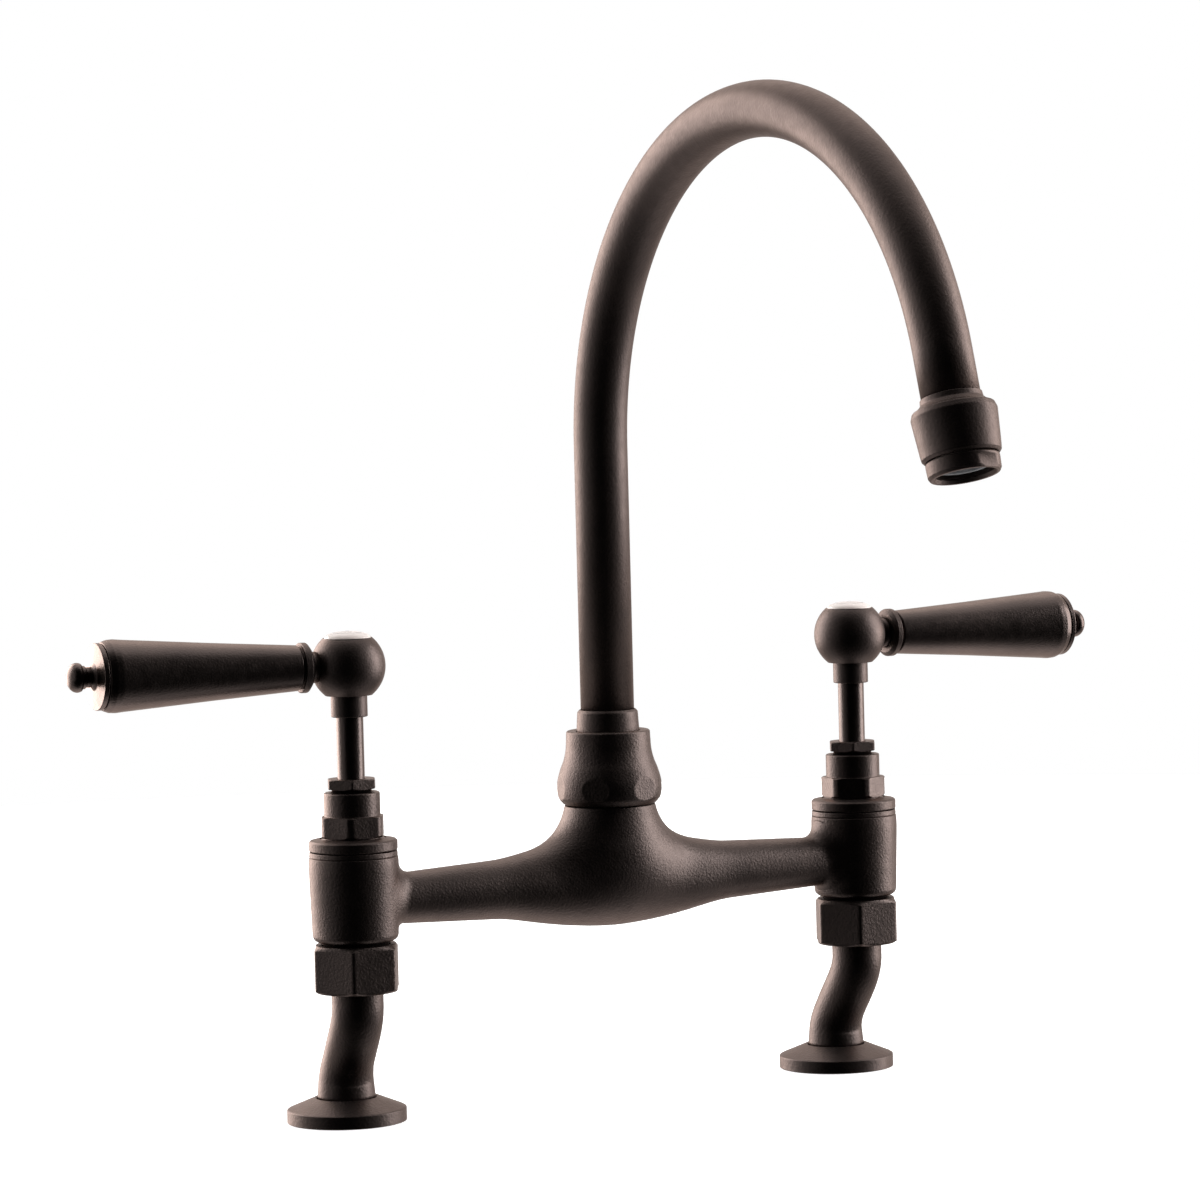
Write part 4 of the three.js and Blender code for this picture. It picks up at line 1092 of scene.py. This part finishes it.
turned_pair("lever_grip", BRONZE_LEVER, [
    (3.9, 18.7), (7.85, 18.7, 0.5), (9.85, 49.5, 90), (12.2, 81.5, 25),
    (12.48, 84.6, 6), (12.33, 86.7, 1.5), (11.5, 88.9, 0.5), (4.6, 88.9),
    (4.6, 36), (3.9, 36)], 128, lever_place)
# a flat disc that closes the grip, a short neck with a ring, and a knob
turned_pair("lever_finial", BRONZE_LEVER, [
    (0, 76), (4.2, 76), (4.2, 89.2), (11.4, 89.2, 0.25), (11.4, 90.95, 0.3),
    (4.7, 91.45, 0.8), (3.45, 92.4, 0.6), (3.45, 94.6, 0.2), (3.95, 94.85, 0.12),
    (3.95, 96.15, 0.1), *arc(5.05, 3.5, 97.4, math.asin(-1.2 / 3.5), math.pi / 2, 16)],
    place=lever_place)
turned_pair("spindle", BRONZE_LEVER, [
    (0, 76.6), (7.9, 76.6), (7.9, 82.6), (4.69, 84.6), (4.69, 144.3, 0.2),
    (4.0, 144.3), (4.0, 155.2), (0, 155.2)], 64)

# %% [markdown]
# ## Swivel nut
#
# The nut that holds the spout down is a little bell with six spanner flats ground on
# its bulge. A bell could be put together from arcs, but its side swells out and
# draws in again without a break, so a smooth curve through a few points suits it
# better. The flats only bite where the bulge is widest, which rounds their outlines.

# %% Bell and flats
BELL = flowing([(16.6, 105.3), (17.9, 106.9), (18.4, 108.7), (18.56, 111.0),
                (18.3, 113.6), (17.3, 117.2), (16.0, 120.6), (15.2, 124.2),
                (14.95, 127.8)], 8)
fit(turned("swivel_nut_fine", [
    (13.1, 105.0), (16.2, 105.0, 0.2), *BELL, (14.8, 130.95, 0.8),
    (11.35, 130.95, 0.5), (11.35, 123.4), (13.1, 123.4)], 288, None,
    hexagon(35.7, {0: 0.27}, 0.05, lambda radius, height: radius > 15)(0)),
    "swivel_nut", BRONZE_CAST)
print("swivel nut's bulge:", round(max(r for r, z in BELL), 2), "mm in radius")

# %% [markdown]
# ## Light, floor and camera
#
# The object stands in a white room that is dark toward the camera. Dark metal then
# shows a black core with bright flanks, which is how its round forms read. The white
# background is there only for rays that the camera sends, and the white walls only
# for rays that the metal mirrors. Neither puts extra light on the object.

# %% Room
FRONT = Vector((-0.487, -0.874, 0.0))   # toward the camera, where the room is dark
WARM_WHITE, WHITE = (1, 0.985, 0.975, 1), (1, 1, 1, 1)
LOOK_AT = (0, 0, 0.18)                  # what the lamps point at
AMBIENT, FLOOR_GLOW = 0.40, 0.75        # the room's own light, and the disc's
POLES = 1.45                            # straight up and down, against the walls


def room():
    world = bpy.data.worlds.new("white_room")
    bpy.context.scene.world = world
    world.use_nodes = True
    tree = world.node_tree
    tree.nodes.clear()
    ray = tree.nodes.new("ShaderNodeLightPath").outputs
    direction = tree.nodes.new("ShaderNodeTexCoord").outputs["Generated"]
    facing = node(tree, "ShaderNodeVectorMath", {"operation": "DOT_PRODUCT"},
                  _0=direction, _1=FRONT).outputs["Value"]
    walls = smooth_step(tree, facing, 0.45, -0.25)
    height = node(tree, "ShaderNodeSeparateXYZ", Vector=direction).outputs["Z"]
    ends = smooth_step(tree, maths(tree, "ABSOLUTE", height), 0.6, 1.0, POLES)
    above = maths(tree, "MULTIPLY", ends, smooth_step(tree, facing, 0.22, -0.30))

    def light(colour, strength):
        return node(tree, "ShaderNodeBackground", Color=colour,
                    Strength=strength).outputs[0]

    mirrored = light(WARM_WHITE, maths(tree, "ADD", walls, above))
    glossy = maths(tree, "MAXIMUM", ray["Is Glossy Ray"], ray["Is Transmission Ray"])
    on_object = node(tree, "ShaderNodeMixShader", _0=glossy, _1=light(WHITE, AMBIENT),
                     _2=mirrored)
    shown = node(tree, "ShaderNodeMixShader", _0=ray["Is Camera Ray"],
                 _1=on_object.outputs[0], _2=light(WHITE, 1.0))
    node(tree, "ShaderNodeOutputWorld", Surface=shown.outputs[0])


def floor():
    """A pale disc: white to the camera, with the faucet's shadow kept on it."""
    bpy.ops.mesh.primitive_circle_add(vertices=96, radius=1.2, fill_type="NGON",
                                      location=(0, 0, -0.0002))
    disc = bpy.context.object
    disc.name = "floor"
    material = bpy.data.materials.new("white_floor")
    material.use_nodes = True
    tree = material.node_tree
    tree.nodes.clear()
    to_camera = tree.nodes.new("ShaderNodeLightPath").outputs["Is Camera Ray"]
    from_below = tree.nodes.new("ShaderNodeNewGeometry").outputs["Backfacing"]
    lit = node(tree, "ShaderNodeBsdfDiffuse", Color=(0.8, 0.8, 0.8, 1)).outputs[0]
    glow = node(tree, "ShaderNodeEmission", Strength=FLOOR_GLOW).outputs[0]
    seen = node(tree, "ShaderNodeAddShader", _0=lit, _1=glow).outputs[0]
    clear = tree.nodes.new("ShaderNodeBsdfTransparent").outputs[0]
    shown = node(tree, "ShaderNodeMixShader", _0=to_camera, _1=lit, _2=seen)
    one_sided = node(tree, "ShaderNodeMixShader", _0=from_below, _1=shown.outputs[0],
                     _2=clear)
    node(tree, "ShaderNodeOutputMaterial", Surface=one_sided.outputs[0])
    disc.data.materials.append(material)
    disc.visible_glossy = False      # the metal mirrors the white room below instead


def soft_box(name, place, width, height, power):
    lamp = bpy.data.lights.new(name, "AREA")
    lamp.shape = "RECTANGLE"
    lamp.size, lamp.size_y, lamp.energy = width, height, power
    thing = add_object(name, lamp)
    back = Vector(place) - Vector(LOOK_AT)
    thing.matrix_world = Matrix.Translation(place) @ back.to_track_quat(
        "Z", "Y").to_matrix().to_4x4()
    thing.visible_camera = False


room()
floor()
soft_box("box_left", (-0.66, 1.35, 0.45), 1.4, 1.5, 48)
soft_box("box_right", (1.43, -0.45, 0.45), 0.9, 1.5, 38)
soft_box("box_behind", (1.0, 1.8, 2.2), 2.4, 1.4, 13)
soft_box("box_front_left", (-1.4, 0.1, 0.4), 0.9, 1.4, 2)
print(len(bpy.data.lights), "soft boxes round the faucet")

# %% [markdown]
# The camera was worked out from edges measured in the photograph: a long lens, to the
# left of the faucet's front and a little above it, tilted by a degree and a half.

# %% Camera
FOCAL_PX, PHOTO_PX, SENSOR_MM = 4987.06, 1200, 36.0
AZIMUTH, ELEVATION, ROLL = (math.radians(a) for a in (29.1257, 3.2473, -1.4812))
DISTANCE, TARGET_RIGHT, TARGET_UP = 1.762214, -0.0016157, 0.1770323


def camera():
    back = Vector((-math.sin(AZIMUTH) * math.cos(ELEVATION),
                   -math.cos(AZIMUTH) * math.cos(ELEVATION), math.sin(ELEVATION)))
    right = Vector((math.cos(AZIMUTH), -math.sin(AZIMUTH), 0))
    up = back.cross(right)
    tilted_right = right * math.cos(ROLL) + up * math.sin(ROLL)
    tilted_up = up * math.cos(ROLL) - right * math.sin(ROLL)
    target = right * TARGET_RIGHT + Vector((0, 0, TARGET_UP))
    lens = bpy.data.cameras.new("photo_camera")
    lens.sensor_width = SENSOR_MM
    lens.lens = SENSOR_MM * FOCAL_PX / PHOTO_PX
    lens.clip_start, lens.clip_end = 0.05, 40.0
    thing = add_object("photo_camera", lens)
    turn = Matrix((tilted_right, tilted_up, back)).transposed().to_4x4()
    thing.matrix_world = Matrix.Translation(target + back * DISTANCE) @ turn
    bpy.context.scene.camera = thing


camera()
bpy.context.scene.view_settings.view_transform = "Standard"
print("the camera stands at", [round(v, 3) for v in bpy.context.scene.camera.location])

# %% [markdown]
# ## Hidden pieces
#
# Seals, washers, valve discs and screws keep their construction meshes, whose
# shapes are right already, and get their finishes here.

# %% Finishes of the inner pieces
INNER = {"swivel_washer": NYLON, "aerator_seal": RUBBER}
for part, material in {"gland_packing": RUBBER, "seat_seal": RUBBER,
                       "base_gasket": RUBBER, "union_washer": FIBRE,
                       "fixed_disc": CERAMIC, "turning_disc": CERAMIC,
                       "hub_screw": STEEL}.items():
    INNER.update({f"{part}_{label}": material for label in SIDES})
for name, material in INNER.items():
    mesh = frame["nodes"][name].data
    mesh.materials.clear()
    mesh.materials.append(material)
print(len(INNER), "construction meshes finished")
